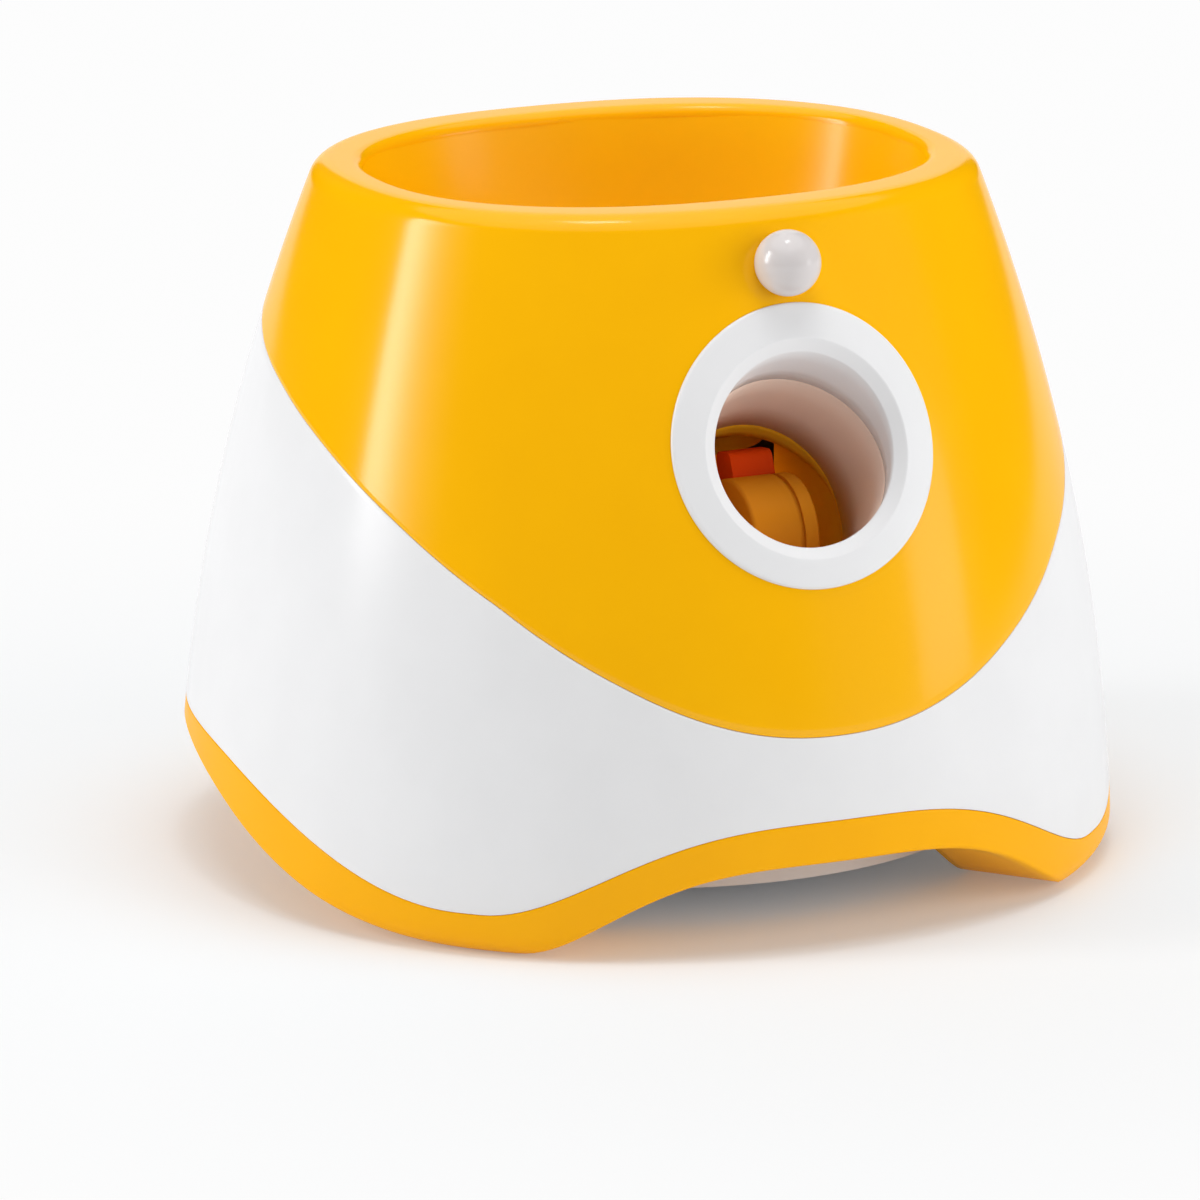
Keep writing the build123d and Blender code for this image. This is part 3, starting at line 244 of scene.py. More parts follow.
def piece(bm, name, material, nodes, body="housing"):
    """Turns a finished mesh into a named piece that stands for CAD nodes."""
    for face in bm.faces:
        face.smooth = True
    mesh = bpy.data.meshes.new(name)
    bm.to_mesh(mesh)
    bm.free()
    mesh.materials.append(material)
    obj = bpy.data.objects.new(name, mesh)
    bpy.context.scene.collection.objects.link(obj)
    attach(obj, body)
    if nodes:
        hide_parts(*nodes)
    return obj


def carve(obj, cutters):
    """Cuts closed meshes out of a piece for good, and keeps its sharp edges crisp."""
    for cutter in cutters:
        mesh = bpy.data.meshes.new("cutter")
        cutter.to_mesh(mesh)
        cutter.free()
        tool = bpy.data.objects.new("cutter", mesh)
        bpy.context.scene.collection.objects.link(tool)
        cut = obj.modifiers.new("cut", "BOOLEAN")
        cut.operation = "DIFFERENCE"
        cut.solver = "EXACT"
        cut.object = tool
        graph = bpy.context.evaluated_depsgraph_get()
        carved = bpy.data.meshes.new_from_object(obj.evaluated_get(graph))
        obj.modifiers.clear()
        old = obj.data
        obj.data = carved
        bpy.data.meshes.remove(old)
        bpy.data.objects.remove(tool)
        bpy.data.meshes.remove(mesh)
    obj.data.name = obj.name
    crisp = bmesh.new()
    crisp.from_mesh(obj.data)
    for line in crisp.edges:
        line.smooth = line.calc_face_angle(0.0) < SHARP_EDGE
    crisp.to_mesh(obj.data)
    crisp.free()


def column(origin, direction, radius, height, segments):
    """A closed cylinder centred on a point, along a direction."""
    bm = bmesh.new()
    bmesh.ops.create_cone(bm, cap_ends=True, segments=segments, radius1=radius * MM, radius2=radius * MM,
                          depth=height * MM)
    turn = Vector((0, 0, 1)).rotation_difference(direction).to_matrix().to_4x4()
    bmesh.ops.transform(bm, matrix=Matrix.Translation(origin * MM) @ turn, verts=bm.verts)
    return bm


# ---- materials ----
PLASTIC_IOR = 1.5
GLOSS_FULL, GLOSS_LOW = 0.35, 0.85    # turned away this far, a surface has its full gloss or the least of it
GLOSS_LEFT = 0.08                     # share of the gloss that is left there
CLOUD_SCALE = 40.0
CLOUD_DARK, CLOUD_LIGHT = 0.35, 0.65  # noise values at which the darker and the lighter colour are reached
GRAIN_DEPTH = 0.0002
METAL_GRAIN = 900.0


def link(tree, source, target):
    tree.links.new(source, target)


def moulded(name, colour, roughness, grain, depth, variation, shine=0.3):
    """Moulded plastic: a colour that varies a little, fine grain, and a gloss that falls at a flat angle."""
    material = bpy.data.materials.new(name)
    material.use_nodes = True
    tree = material.node_tree
    shader = tree.nodes["Principled BSDF"]
    shader.inputs["Roughness"].default_value = roughness
    shader.inputs["IOR"].default_value = PLASTIC_IOR
    facing = tree.nodes.new("ShaderNodeLayerWeight")
    facing.inputs["Blend"].default_value = 0.5
    gloss = tree.nodes.new("ShaderNodeMapRange")
    gloss.inputs["From Min"].default_value = GLOSS_FULL
    gloss.inputs["From Max"].default_value = GLOSS_LOW
    gloss.inputs["To Min"].default_value = shine
    gloss.inputs["To Max"].default_value = shine * GLOSS_LEFT
    link(tree, facing.outputs["Facing"], gloss.inputs["Value"])
    link(tree, gloss.outputs["Result"], shader.inputs["Specular IOR Level"])
    place = tree.nodes.new("ShaderNodeTexCoord")
    cloud = tree.nodes.new("ShaderNodeTexNoise")
    cloud.inputs["Scale"].default_value = CLOUD_SCALE
    cloud.inputs["Detail"].default_value = 3.0
    link(tree, place.outputs["Object"], cloud.inputs["Vector"])
    ramp = tree.nodes.new("ShaderNodeValToRGB")
    darker = [channel * (1 - variation) for channel in colour[:3]] + [1.0]
    lighter = [min(1.0, channel * (1 + variation)) for channel in colour[:3]] + [1.0]
    ramp.color_ramp.elements[0].position = CLOUD_DARK
    ramp.color_ramp.elements[0].color = darker
    ramp.color_ramp.elements[1].position = CLOUD_LIGHT
    ramp.color_ramp.elements[1].color = lighter
    link(tree, cloud.outputs["Fac"], ramp.inputs["Fac"])
    link(tree, ramp.outputs["Color"], shader.inputs["Base Color"])
    speck = tree.nodes.new("ShaderNodeTexNoise")
    speck.inputs["Scale"].default_value = grain
    speck.inputs["Detail"].default_value = 2.0
    link(tree, place.outputs["Object"], speck.inputs["Vector"])
    bump = tree.nodes.new("ShaderNodeBump")
    bump.inputs["Strength"].default_value = depth
    bump.inputs["Distance"].default_value = GRAIN_DEPTH
    link(tree, speck.outputs["Fac"], bump.inputs["Height"])
    link(tree, bump.outputs["Normal"], shader.inputs["Normal"])
    return material


def metal(name, colour, roughness):
    """Drawn, ground or plated metal with a fine streaked roughness."""
    material = bpy.data.materials.new(name)
    material.use_nodes = True
    tree = material.node_tree
    shader = tree.nodes["Principled BSDF"]
    shader.inputs["Metallic"].default_value = 1.0
    shader.inputs["Base Color"].default_value = colour
    place = tree.nodes.new("ShaderNodeTexCoord")
    streak = tree.nodes.new("ShaderNodeTexNoise")
    streak.inputs["Scale"].default_value = METAL_GRAIN
    link(tree, place.outputs["Object"], streak.inputs["Vector"])
    spread = tree.nodes.new("ShaderNodeMapRange")
    spread.inputs["To Min"].default_value = roughness * 0.7
    spread.inputs["To Max"].default_value = roughness * 1.3
    link(tree, streak.outputs["Fac"], spread.inputs["Value"])
    link(tree, spread.outputs["Result"], shader.inputs["Roughness"])
    return material


def linear(red, green, blue):
    """A display colour (0 to 255) as the renderer's linear colour."""

    def one(value):
        value /= 255
        return value / 12.92 if value <= 0.04045 else ((value + 0.055) / 1.055) ** 2.4
    return (one(red), one(green), one(blue), 1.0)


MATERIALS = {}


def make_materials(look):
    """Fills MATERIALS, one for each slot; moulded takes roughness, grain, its depth, variation and shine."""
    MATERIALS.update({
        "yellow_shell": moulded("yellow shell plastic", look.yellow, 0.15, 700, 0.03, 0.012, 0.32),
        "bowl_yellow": moulded("hopper plastic", linear(255, 190, 4), 0.22, 700, 0.04, 0.015, 0.25),
        "white_shell": moulded("white shell plastic", look.white, 0.24, 700, 0.03, 0.01, 0.3),
        "tube_white": moulded("launch tube plastic", linear(236, 209, 192), 0.35, 900, 0.05, 0.01, 0.15),
        "foot_orange": moulded("foot band plastic", look.band, 0.24, 700, 0.05, 0.015, 0.12),
        "pan_grey": moulded("base pan plastic", linear(205, 205, 208), 0.5, 1500, 0.3, 0.02),
        "pad_rubber": moulded("foot pad rubber", linear(48, 47, 46), 0.8, 2200, 0.5, 0.1),
        "chamber_orange": moulded("chamber plastic", linear(255, 194, 40), 0.42, 900, 0.12, 0.03, 0.06),
        "striker_orange": moulded("striker head plastic", linear(212, 130, 22), 0.36, 900, 0.12, 0.03, 0.08),
        "arm_orange": moulded("striker arm plastic", linear(222, 66, 6), 0.4, 900, 0.12, 0.03, 0.06),
        "bush_white": moulded("bush plastic", linear(226, 225, 220), 0.35, 900, 0.1, 0.02),
        "bumper_rubber": moulded("bumper rubber", linear(40, 40, 42), 0.85, 2000, 0.5, 0.1),
        "gear_white": moulded("gear plastic", linear(232, 230, 222), 0.38, 900, 0.1, 0.02),
        "speaker_black": moulded("speaker cone", linear(30, 30, 32), 0.75, 1800, 0.5, 0.1),
        "switch_black": moulded("switch plastic", linear(32, 32, 34), 0.4, 1200, 0.2, 0.05),
        "lens_white": moulded("lens plastic", linear(216, 210, 209), 0.16, 600, 0.02, 0.005, 0.6),
        "board_green": moulded("circuit board", linear(28, 92, 58), 0.3, 1600, 0.2, 0.08),
        "button_orange": moulded("button plastic", look.band, 0.3, 900, 0.08, 0.02),
        "light_green": moulded("indicator lens", linear(150, 225, 150), 0.15, 600, 0.02, 0.01, 0.5),
        "screw_steel": metal("zinc plated screw", linear(196, 198, 202), 0.32),
        "contact_nickel": metal("nickel contact", linear(206, 202, 192), 0.22),
        "shaft_steel": metal("ground steel", linear(200, 201, 204), 0.2),
        "spring_steel": metal("spring wire", linear(150, 150, 154), 0.3),
        "gear_brass": metal("brass pinion", linear(214, 178, 96), 0.28),
        "plate_steel": metal("zinc plated sheet", linear(188, 190, 194), 0.36),
        "motor_can": metal("motor can", linear(194, 195, 198), 0.3),
    })


# ---- settings ----
def length(name, description, default):
    """A length setting; its default is in millimetres."""
    return bpy.props.FloatProperty(name=name, description=description, default=default * MM, unit="LENGTH",
                                   precision=5)


def shade(name, description, default):
    """A colour setting."""
    return bpy.props.FloatVectorProperty(name=name, description=description, default=default, size=4,
                                         subtype="COLOR", min=0.0, max=1.0)


class LauncherShells(bpy.types.PropertyGroup):
    groove: length("Seam groove", "Depth of the groove between two shells", 0.35)
    edge: length("Edge round", "Rounding of a shell's edge beside a groove", 0.25)


class LauncherLook(bpy.types.PropertyGroup):
    yellow: shade("Yellow", "Colour of the upper shell and the hopper", linear(255, 185, 3))
    white: shade("White", "Colour of the lower shell, the flange and the tube", linear(234, 234, 235))
    band: shade("Band", "Colour of the foot band", linear(255, 180, 6))


class LauncherStage(bpy.types.PropertyGroup):
    distance: bpy.props.FloatProperty(name="Distance", description="Camera distance", default=2.5,
                                      unit="LENGTH")
    azimuth: bpy.props.FloatProperty(name="Azimuth", description="Camera azimuth",
                                     default=math.radians(-25.36), subtype="ANGLE")
    elevation: bpy.props.FloatProperty(name="Elevation", description="Camera elevation",
                                       default=math.radians(13.87), subtype="ANGLE")
    lens: bpy.props.FloatProperty(name="Lens", description="Focal length in millimetres", default=261.4)


# ---- shells ----
def rim_point(turn, kind, amount):
    """A point on the rim: round its shoulder, over its top, down its inner crease, and back under the top."""
    tangent_z = HEIGHT - RIM_ROUND + RIM_ROUND * math.sin(RIM_LEAN)
    side = side_point(turn, tangent_z)
    arc_middle = math.hypot(side.x, side.y) - RIM_ROUND * math.cos(RIM_LEAN)
    mouth_reach = oval_reach(turn, *OPENING, OPENING_POWER)
    if kind == "rim":
        lean = RIM_LEAN + (math.pi / 2 - RIM_LEAN) * amount
        reach, z = arc_middle + RIM_ROUND * math.cos(lean), HEIGHT - RIM_ROUND + RIM_ROUND * math.sin(lean)
    elif kind == "top":
        reach, z = arc_middle + (mouth_reach - BOWL_OVERLAP + CREASE_R - arc_middle) * amount, HEIGHT
    elif kind == "crease":
        lean = math.pi / 2 * (1 + amount)
        reach = mouth_reach - BOWL_OVERLAP + CREASE_R + CREASE_R * math.cos(lean)
        z = HEIGHT - CREASE_R + CREASE_R * math.sin(lean)
    elif amount < 0.5:
        reach, z = mouth_reach + BOWL_OVERLAP, HEIGHT - CREASE_R
    else:
        inner = side_point(turn, HEIGHT - WALL, -WALL)
        reach, z = math.hypot(inner.x, inner.y), HEIGHT - WALL
    return around_axis(turn, reach, z)


def shell_ring(low_edge, high_edge, groove, edge, rim=False):
    """Place function and row count of a closed shell wall; its rows run up outside and down inside."""
    heights = {}

    def ends(turn):
        key = round(turn, 6)
        if key not in heights:
            heights[key] = (low_edge(turn), high_edge(turn))
        return heights[key]

    # each row is a kind, a depth below the surface or a share of the way, and a distance from the edge
    chamfer = edge * 0.3
    rows = [("low", WALL, 0.0), ("low", groove, 0.0), ("low", chamfer, chamfer), ("low", 0.0, edge)]
    rows += [("side", k / SIDE_ROWS, 0.0) for k in range(1, SIDE_ROWS)]
    if rim:
        rows += [("rim", k / 10, 0.0) for k in range(11)]
        rows += [("top", k / 3, 0.0) for k in range(1, 3)]
        rows += [("crease", k / 8, 0.0) for k in range(9)]
        rows += [("under", 0.0, 0.0), ("under", 1.0, 0.0)]
    else:
        rows += [("high", 0.0, edge), ("high", chamfer, chamfer), ("high", groove, 0.0), ("high", WALL, 0.0)]
    rows += [("inside", k / SIDE_ROWS, 0.0) for k in range(SIDE_ROWS - 1, 0, -1)]
    rows.append(("low", WALL, 0.0))

    def place(turn, row):
        kind, amount, lift = rows[row]
        low, high = ends(turn)
        if kind == "low":
            return side_point(turn, low + lift, -amount)
        if kind == "high":
            return side_point(turn, high - lift, -amount)
        if kind == "side":
            return side_point(turn, low + edge + (high - low - 2 * edge) * amount)
        if kind == "inside":
            return side_point(turn, low + (high - low) * amount, -WALL)
        return rim_point(turn, kind, amount)

    return place, len(rows) - 1


def rim_start(turn):
    """Height just above the foot of the rim's rounding, the same all the way round."""
    return HEIGHT - RIM_ROUND + RIM_ROUND * math.sin(RIM_LEAN) + 0.5


def edge_sizes(context):
    """Depth of the grooves between the shells and rounding of the edges beside them, in millimetres."""
    sizes = context.scene.launcher_shells
    return sizes.groove / MM, sizes.edge / MM


class LAUNCHER_OT_upper_shell(bpy.types.Operator):
    """Build the yellow upper shell with its rounded rim"""
    bl_idname = "launcher.upper_shell"
    bl_label = "Upper shell"

    def execute(self, context):
        place, rows = shell_ring(parting_height, rim_start, *edge_sizes(context), rim=True)
        bm = formed_sheet(AROUND, rows, place)
        shell = piece(bm, "upper_shell_looks", MATERIALS["yellow_shell"], ["upper_shell"])
        carve(shell, [column(MOUTH, FLANGE_OUT, FLANGE_R + FLANGE_FIT, HOLE_DEPTH, RING_AROUND)])
        return {"FINISHED"}


class LAUNCHER_OT_lower_shell(bpy.types.Operator):
    """Build the white lower shell with the rear panel's window"""
    bl_idname = "launcher.lower_shell"
    bl_label = "Lower shell"

    def execute(self, context):
        place, rows = shell_ring(lambda turn: wave(turn, *BAND_WAVE) + SEAM,
                                 lambda turn: parting_height(turn) - SEAM, *edge_sizes(context))
        bm = formed_sheet(AROUND, rows, place)
        shell = piece(bm, "lower_shell_looks", MATERIALS["white_shell"], ["lower_shell"])
        window = bmesh.new()
        bmesh.ops.create_cube(window, size=1.0)
        place_window = Matrix.Translation(Vector((0, PANEL_Y, PANEL_Z)) * MM)
        bmesh.ops.transform(window, matrix=place_window @ Matrix.Diagonal(Vector(PANEL_WINDOW) * MM).to_4x4(),
                            verts=window.verts)
        through = [line for line in window.edges if abs(line.verts[0].co.y - line.verts[1].co.y) > 10 * MM]
        bmesh.ops.bevel(window, geom=through, offset=PANEL_CORNER * MM, segments=10, affect="EDGES",
                        profile=0.5, material=-1)
        carve(shell, [window])
        return {"FINISHED"}


class LAUNCHER_OT_foot_band(bpy.types.Operator):
    """Build the orange foot band with its three feet and arches"""
    bl_idname = "launcher.foot_band"
    bl_label = "Foot band"

    def execute(self, context):
        groove, edge = edge_sizes(context)
        rows = [("side", k / BAND_ROWS) for k in range(BAND_ROWS + 1)]
        rows += [("top", (edge * 0.3, edge * 0.3)), ("top", (groove, 0.0)), ("top", (WALL, 0.0))]
        rows += [("floor", 0)]
        rows += [("well", (WALL, 0)), ("well", (WALL, 1)), ("well", (0.0, 1)), ("well", (0.0, 2)),
                 ("well", (WALL, 2))]
        rows += [("sole", k / SOLE_ROWS) for k in range(SOLE_ROWS + 1)]
        rows += [("side", 0.0)]

        def place(turn, row):
            low, high = wave(turn, *SOLE_WAVE), wave(turn, *BAND_WAVE)
            floor = min(low + BAND_FLOOR, high - 0.5)
            kind, amount = rows[row]
            if kind == "side":
                return side_point(turn, low + TOE + (high - edge - low - TOE) * amount)
            if kind == "top":
                return side_point(turn, high - amount[1], -amount[0])
            if kind == "floor":
                return side_point(turn, floor, -WALL)
            if kind == "well":
                level = (floor, high - 0.2, min(low, SKIRT_Z))[amount[1]]
                return around_axis(turn, WELL_R + amount[0], level)
            start = around_axis(turn, WELL_R + WALL, low)
            end = side_point(turn, low + TOE * 0.25) - around_axis(turn, 0.5, 0.0)
            end.z = low
            return start.lerp(end, amount)

        bm = formed_sheet(AROUND, len(rows) - 1, place)
        piece(bm, "foot_band_looks", MATERIALS["foot_orange"], ["foot_band"])
        return {"FINISHED"}


class LAUNCHER_OT_flange(bpy.types.Operator):
    """Build the white flange that follows the front wall, the tube behind its mouth, and the collar there"""
    bl_idname = "launcher.flange"
    bl_label = "Launch flange"

    def execute(self, context):
        proud, edge = FLANGE_PROUD, FLANGE_EDGE

        def ring_point(turn, radius, growth, low=0.0):
            start = MOUTH + (ACROSS * math.sin(turn) - FLANGE_UP * math.cos(turn)) * radius - FLANGE_UP * low
            return onto_body(start, FLANGE_OUT, growth)

        ring_rows = 12
        # the bevel from the mouth out to the flange's face: radius, and height over the body's side
        bevel = ((MOUTH_R + 0.2, -1.9), (MOUTH_R + 0.5, -1.62), (MOUTH_R + 1.0, -1.3),
                 (BEVEL_R - 0.7, proud - 0.45), (BEVEL_R - 0.25, proud - 0.12), (BEVEL_R, proud),
                 (BEVEL_R + 0.3, proud))

        def spigot_end(turn):
            return SPIGOT + SPIGOT_MORE * max(0.0, math.cos(turn)) ** 2

        def tube_end(turn):
            return TUBE_END - TUBE_CUT * max(0.0, -math.cos(turn))

        def chamber_start(turn):
            return TUBE_END + 0.1

        last_row = len(bevel) + 8 + ring_rows

        def place(turn, row):
            if row in (0, last_row):
                return launch_point(turn, MOUTH_R, spigot_end(turn))
            if row <= 2:
                end = ring_point(turn, *bevel[0], BEVEL_LOW)
                return launch_point(turn, MOUTH_R, spigot_end(turn)).lerp(end, row / 3)
            row -= 3
            if row < len(bevel):
                return ring_point(turn, *bevel[row], BEVEL_LOW)
            row -= len(bevel) - 1
            if row <= ring_rows:
                inner = ring_point(turn, *bevel[-1], BEVEL_LOW)
                outer = ring_point(turn, FLANGE_R - edge, proud)
                return onto_body(inner.lerp(outer, row / ring_rows), FLANGE_OUT, proud)
            row -= ring_rows
            if row == 1:
                return ring_point(turn, FLANGE_R - edge * 0.3, proud - edge * 0.3)
            if row == 2:
                return ring_point(turn, FLANGE_R, proud - edge)
            if row == 3:
                return ring_point(turn, FLANGE_R, -FLANGE_SEAT)
            if row == 4:
                return ring_point(turn, MOUTH_R + 7, -FLANGE_SEAT)
            return launch_point(turn, MOUTH_R + TUBE_WALL, spigot_end(turn))

        bm = formed_sheet(RING_AROUND, last_row, place)
        piece(bm, "launch_flange_looks", MATERIALS["white_shell"], ["launch_flange"])

        def launch_ring(start, end, name, material, nodes):
            # wall depth, share of the way along, and rounding at the start
            profile = ((0, 1, 0), (0, 0.6, 0), (0, 0.3, 0), (0, 0, 0.4), (0.4, 0, 0), (TUBE_WALL, 0, 0),
                       (TUBE_WALL, 1, 0), (0, 1, 0))

            def ring_place(turn, row):
                wall, share, lift = profile[row]
                low, high = start(turn), end(turn)
                along = low + (high - low) * share + min(lift, (high - low) * 0.2)
                return launch_point(turn, TUBE_R + wall, along)

            ring = formed_sheet(RING_AROUND, len(profile) - 1, ring_place)
            piece(ring, name, MATERIALS[material], nodes)

        launch_ring(spigot_end, tube_end, "launch_tube_looks", "tube_white", ["launch_tube"])
        launch_ring(tube_end, chamber_start, "chamber_collar", "chamber_orange", [])
        return {"FINISHED"}


class LAUNCHER_OT_lens(bpy.types.Operator):
    """Build the milky ball of the motion sensor on its neck"""
    bl_idname = "launcher.lens"
    bl_label = "Sensor lens"

    def execute(self, context):
        below, above = (through_three((LENS_Z + step) / HEIGHT, *DEPTHS) for step in (-5, 5))
        slope = (below - above) / 10
        out = Vector((0, -1, slope)).normalized()
        upward = Vector((0, slope, 1)).normalized()
        seat = Vector((0, -through_three(LENS_Z / HEIGHT, *DEPTHS), LENS_Z))
        rows = [(LENS_R * math.cos(LENS_NECK), -WALL - 1)]
        for k in range(LENS_ROWS):
            lean = LENS_NECK + (math.pi / 2 - LENS_NECK) * k / LENS_ROWS
            rows.append((LENS_R * math.cos(lean), LENS_PROUD + LENS_R * math.sin(lean)))

        def place(turn, row):
            radius, height = rows[row]
            return seat + out * height + (ACROSS * math.sin(turn) + upward * math.cos(turn)) * radius

        bm = formed_sheet(96, len(rows) - 1, place)
        bmesh.ops.holes_fill(bm, edges=bm.edges)
        piece(bm, "sensor_lens_looks", MATERIALS["lens_white"], ["sensor_lens"])
        return {"FINISHED"}


# ---- carried-over nodes ----
class LAUNCHER_OT_node_finishes(bpy.types.Operator):
    """Give every node that is shown as it is the finish of its slot"""
    bl_idname = "launcher.node_finishes"
    bl_label = "Finishes"

    def execute(self, context):
        for part in frame["record"]["subparts"]:
            name = part["node"]
            finish = "bowl_yellow" if name == "hopper_bowl" else part["material_slot"]
            obj = frame["nodes"][name]
            obj.data.materials.clear()
            obj.data.materials.append(MATERIALS[finish])
        return {"FINISHED"}


# ---- stage, in metres ----
MIDDLE = Vector((0, 0, 0.1))          # what the camera and most lamps turn to
AIM_LEFT, AIM_DOWN = 0.0051, 0.012    # the camera aims this share of its distance beside the middle
FLOOR_R = 3.0
FLOOR_DROP = 0.0002
# the floor's white glow is painted light: besides blending the floor into the white round it, it lightens the
# shadow near the object
FLOOR_GLOW_FULL = 0.45                     # this far from the middle the floor has gone over into white
CLOTH_R = 2.8
CLOTH_LOW, CLOTH_HEIGHT = 0.05, 3.2
CLOTH_MIDDLE, CLOTH_SPAN = -25, 330   # degrees
WORLD_LIGHT, WORLD_SEEN = 0.34, 1.0   # the world's strength as a light, and where it is seen or mirrored
STRIP_TURN = math.radians(-95)
STRIP_DISTANCE, STRIP_Z = 1.76, 0.75
STRIP_SIZE = (1.05, 1.1)
STRIP_WATTS = 41.5
STRIP_FADE = ((0.0, 0.8), (0.12, 1.0), (0.26, 0.85), (0.45, 0.3), (0.7, 0.06), (1.0, 0.0))
# name, position, target, width, height, watts, and whether it shows in glossy surfaces
SOFTBOXES = (
    ("low softbox", (1.45, -1.2, 0.31), MIDDLE, 0.5, 0.5, 1.6, True),
    ("small top softbox", (0.0, -0.05, 1.85), MIDDLE, 0.3, 0.3, 2.6, True),
    ("side softbox", (1.3, -1.3, 0.6), MIDDLE, 1.5, 1.3, 15, False),
    ("top softbox", (0.0, -0.15, 1.9), MIDDLE, 1.4, 1.2, 14, False),
    ("back softbox", (0.3, 1.9, 0.9), (0, 0, 0.15), 1.2, 0.8, 5, False),
)


def softbox(name, position, target, width, height, energy, in_gloss=True):
    """A rectangular lamp that faces a point."""
    lamp = bpy.data.lights.new(name, "AREA")
    lamp.shape = "RECTANGLE"
    lamp.size = width
    lamp.size_y = height
    lamp.energy = energy
    obj = bpy.data.objects.new(name, lamp)
    obj.location = position
    obj.rotation_euler = (Vector(target) - Vector(position)).to_track_quat("-Z", "Y").to_euler()
    obj.visible_glossy = in_gloss
    bpy.context.scene.collection.objects.link(obj)
    return lamp


def fade_across(lamp, stops):
    """Lets a lamp's light fade across its width, as a softbox lit from one side does."""
    lamp.use_nodes = True
    tree = lamp.node_tree
    place = tree.nodes.new("ShaderNodeNewGeometry")
    across = tree.nodes.new("ShaderNodeSeparateXYZ")
    link(tree, place.outputs["Parametric"], across.inputs["Vector"])
    ramp = tree.nodes.new("ShaderNodeValToRGB")
    ramp.color_ramp.interpolation = "B_SPLINE"
    levels = ramp.color_ramp.elements
    for share, _ in stops[1:-1]:
        levels.new(share)
    for element, (share, level) in zip(levels, stops):
        element.position = share
        element.color = (level, level, level, 1.0)
    link(tree, across.outputs["X"], ramp.inputs["Fac"])
    link(tree, ramp.outputs["Color"], tree.nodes["Emission"].inputs["Strength"])


def stage_object(bm, name, material):
    """Turns a finished mesh into an object of the stage."""
    mesh = bpy.data.meshes.new(name)
    bm.to_mesh(mesh)
    bm.free()
    mesh.materials.append(material)
    obj = bpy.data.objects.new(name, mesh)
    bpy.context.scene.collection.objects.link(obj)
    return obj


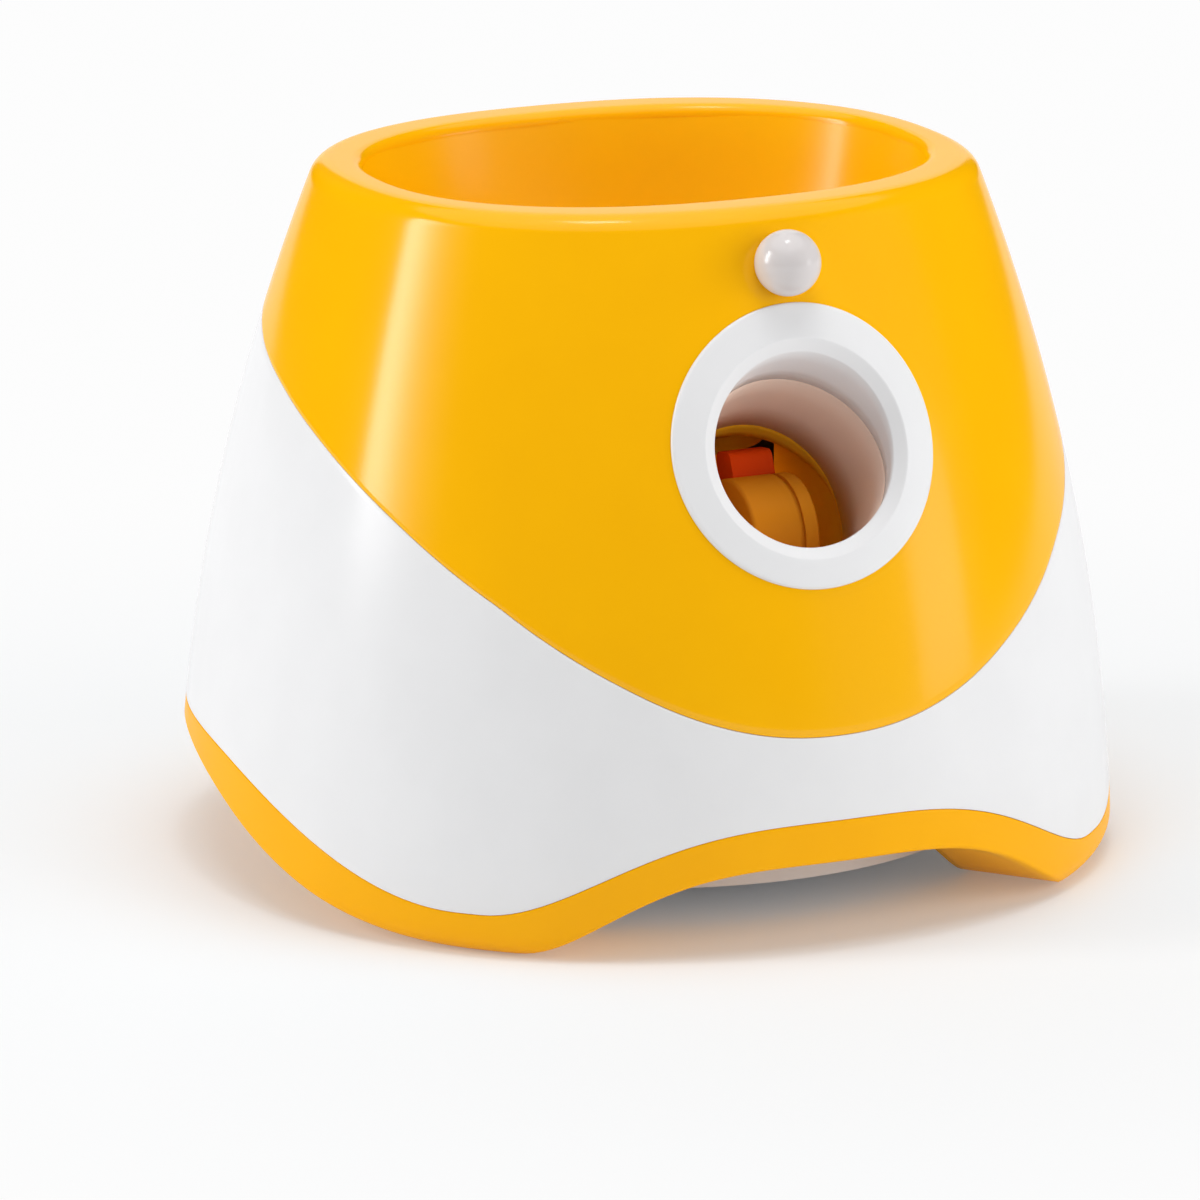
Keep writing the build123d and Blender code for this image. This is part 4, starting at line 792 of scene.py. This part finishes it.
class LAUNCHER_OT_stage(bpy.types.Operator):
    """Set the camera, the pale floor, the black cloth round the table, and the soft lamps"""
    bl_idname = "launcher.stage"
    bl_label = "Stage"

    def execute(self, context):
        scene = context.scene
        self.set_camera(scene)
        self.lay_floor()
        self.hang_cloth()
        scene.world = self.studio_world()

        strip = softbox("strip softbox", around_axis(STRIP_TURN, STRIP_DISTANCE, STRIP_Z), MIDDLE, *STRIP_SIZE,
                        STRIP_WATTS)
        fade_across(strip, STRIP_FADE)
        for row in SOFTBOXES:
            softbox(*row)
        scene.view_settings.view_transform = "Standard"
        return {"FINISHED"}

    def set_camera(self, scene):
        """A level camera on the sphere round the middle that the stage's settings give."""
        look = scene.launcher_stage
        back = Vector((math.sin(look.azimuth) * math.cos(look.elevation),
                       -math.cos(look.azimuth) * math.cos(look.elevation), math.sin(look.elevation)))
        right = Vector((math.cos(look.azimuth), math.sin(look.azimuth), 0))
        up = back.cross(right)
        forward = (-back - right * AIM_LEFT - up * AIM_DOWN).normalized()
        level_right = forward.cross(Vector((0, 0, 1))).normalized()
        true_up = level_right.cross(forward)
        camera = bpy.data.cameras.new("camera")
        camera.lens = look.lens
        camera.sensor_width = 36.0
        camera.clip_end = 50.0
        holder = bpy.data.objects.new("camera", camera)
        turn = Matrix((level_right, true_up, -forward)).transposed().to_4x4()
        holder.matrix_world = Matrix.Translation(back * look.distance + MIDDLE) @ turn
        scene.collection.objects.link(holder)
        scene.camera = holder

    def lay_floor(self):
        """A round floor just below the feet."""
        bm = bmesh.new()
        bmesh.ops.create_circle(bm, cap_ends=True, segments=96, radius=FLOOR_R)
        floor = stage_object(bm, "floor", self.floor_material())
        floor.location = (0, 0, -FLOOR_DROP)

    def hang_cloth(self):
        """A black cloth round the table, open behind the object, that shows only in glossy surfaces."""
        bm = bmesh.new()
        bmesh.ops.create_grid(bm, x_segments=60, y_segments=1, size=0.5)
        for vert in bm.verts:
            turn = math.radians(CLOTH_MIDDLE + CLOTH_SPAN * vert.co.x)
            vert.co = (CLOTH_R * math.sin(turn), -CLOTH_R * math.cos(turn),
                       CLOTH_LOW + CLOTH_HEIGHT * (vert.co.y + 0.5))
        black = moulded("black cloth", linear(12, 12, 12), 0.9, 300, 0.2, 0.1, 0.0)
        cloth = stage_object(bm, "black cloth", black)
        cloth.visible_camera = False
        cloth.visible_diffuse = False
        cloth.visible_shadow = False

    def studio_world(self):
        """White where it is seen, also in gloss and through clear things, and a weaker light on the object."""
        world = bpy.data.worlds.new("studio")
        world.use_nodes = True
        tree = world.node_tree
        paint = tree.nodes["Background"]
        paint.inputs["Color"].default_value = (1, 1, 1, 1)
        path = tree.nodes.new("ShaderNodeLightPath")
        seen = path.outputs["Is Camera Ray"]
        for ray in ("Is Glossy Ray", "Is Transmission Ray"):
            either = tree.nodes.new("ShaderNodeMath")
            either.operation = "MAXIMUM"
            link(tree, seen, either.inputs[0])
            link(tree, path.outputs[ray], either.inputs[1])
            seen = either.outputs["Value"]
        strength = tree.nodes.new("ShaderNodeMapRange")
        strength.inputs["To Min"].default_value = WORLD_LIGHT
        strength.inputs["To Max"].default_value = WORLD_SEEN
        link(tree, seen, strength.inputs["Value"])
        link(tree, strength.outputs["Result"], paint.inputs["Strength"])
        return world

    def floor_material(self):
        """Pale floor that goes over into a white glow round it; the glow is painted light, which also lightens
        the shadow near the object.
        """
        material = bpy.data.materials.new("studio floor")
        material.use_nodes = True
        tree = material.node_tree
        shader = tree.nodes["Principled BSDF"]
        shader.inputs["Base Color"].default_value = (0.85, 0.87, 0.885, 1)
        shader.inputs["Roughness"].default_value = 0.8
        shader.inputs["Specular IOR Level"].default_value = 0.2
        place = tree.nodes.new("ShaderNodeTexCoord")
        distance = tree.nodes.new("ShaderNodeVectorMath")
        distance.operation = "LENGTH"
        link(tree, place.outputs["Object"], distance.inputs[0])
        fade = tree.nodes.new("ShaderNodeMapRange")
        fade.interpolation_type = "SMOOTHSTEP"
        fade.inputs["From Min"].default_value = 0.0
        fade.inputs["From Max"].default_value = FLOOR_GLOW_FULL
        link(tree, distance.outputs["Value"], fade.inputs["Value"])
        # painted light: a white glow mixed into the floor, which blends it into the white round it and
        # lightens the shadow near the object
        white = tree.nodes.new("ShaderNodeEmission")
        white.inputs["Color"].default_value = (0.98, 0.98, 0.98, 1)
        mix = tree.nodes.new("ShaderNodeMixShader")
        link(tree, fade.outputs["Result"], mix.inputs[0])
        link(tree, shader.outputs["BSDF"], mix.inputs[1])
        link(tree, white.outputs["Emission"], mix.inputs[2])
        link(tree, mix.outputs["Shader"], tree.nodes["Material Output"].inputs["Surface"])
        return material


class LAUNCHER_PT_panel(bpy.types.Panel):
    """Lists the launcher's builders"""
    bl_idname = "LAUNCHER_PT_panel"
    bl_label = "Ball launcher"
    bl_space_type = "VIEW_3D"
    bl_region_type = "UI"
    bl_category = "Launcher"

    def draw(self, context):
        scene = context.scene
        for group in (scene.launcher_shells, scene.launcher_look, scene.launcher_stage):
            for name in group.__annotations__:
                self.layout.prop(group, name)
        for operator in OPERATORS:
            self.layout.operator(operator.bl_idname)


GROUPS = {"launcher_shells": LauncherShells, "launcher_look": LauncherLook, "launcher_stage": LauncherStage}
OPERATORS = (LAUNCHER_OT_node_finishes, LAUNCHER_OT_upper_shell, LAUNCHER_OT_lower_shell,
             LAUNCHER_OT_foot_band, LAUNCHER_OT_flange, LAUNCHER_OT_lens, LAUNCHER_OT_stage)
CLASSES = tuple(GROUPS.values()) + OPERATORS + (LAUNCHER_PT_panel,)


def register():
    for one in CLASSES:
        bpy.utils.register_class(one)
    for name, group in GROUPS.items():
        setattr(bpy.types.Scene, name, bpy.props.PointerProperty(type=group))


def unregister():
    for name in GROUPS:
        delattr(bpy.types.Scene, name)
    for one in reversed(CLASSES):
        bpy.utils.unregister_class(one)


def main():
    register()
    make_materials(bpy.context.scene.launcher_look)
    for operator in OPERATORS:
        space, name = operator.bl_idname.split(".")
        getattr(getattr(bpy.ops, space), name)()


if __name__ == "__main__":
    main()
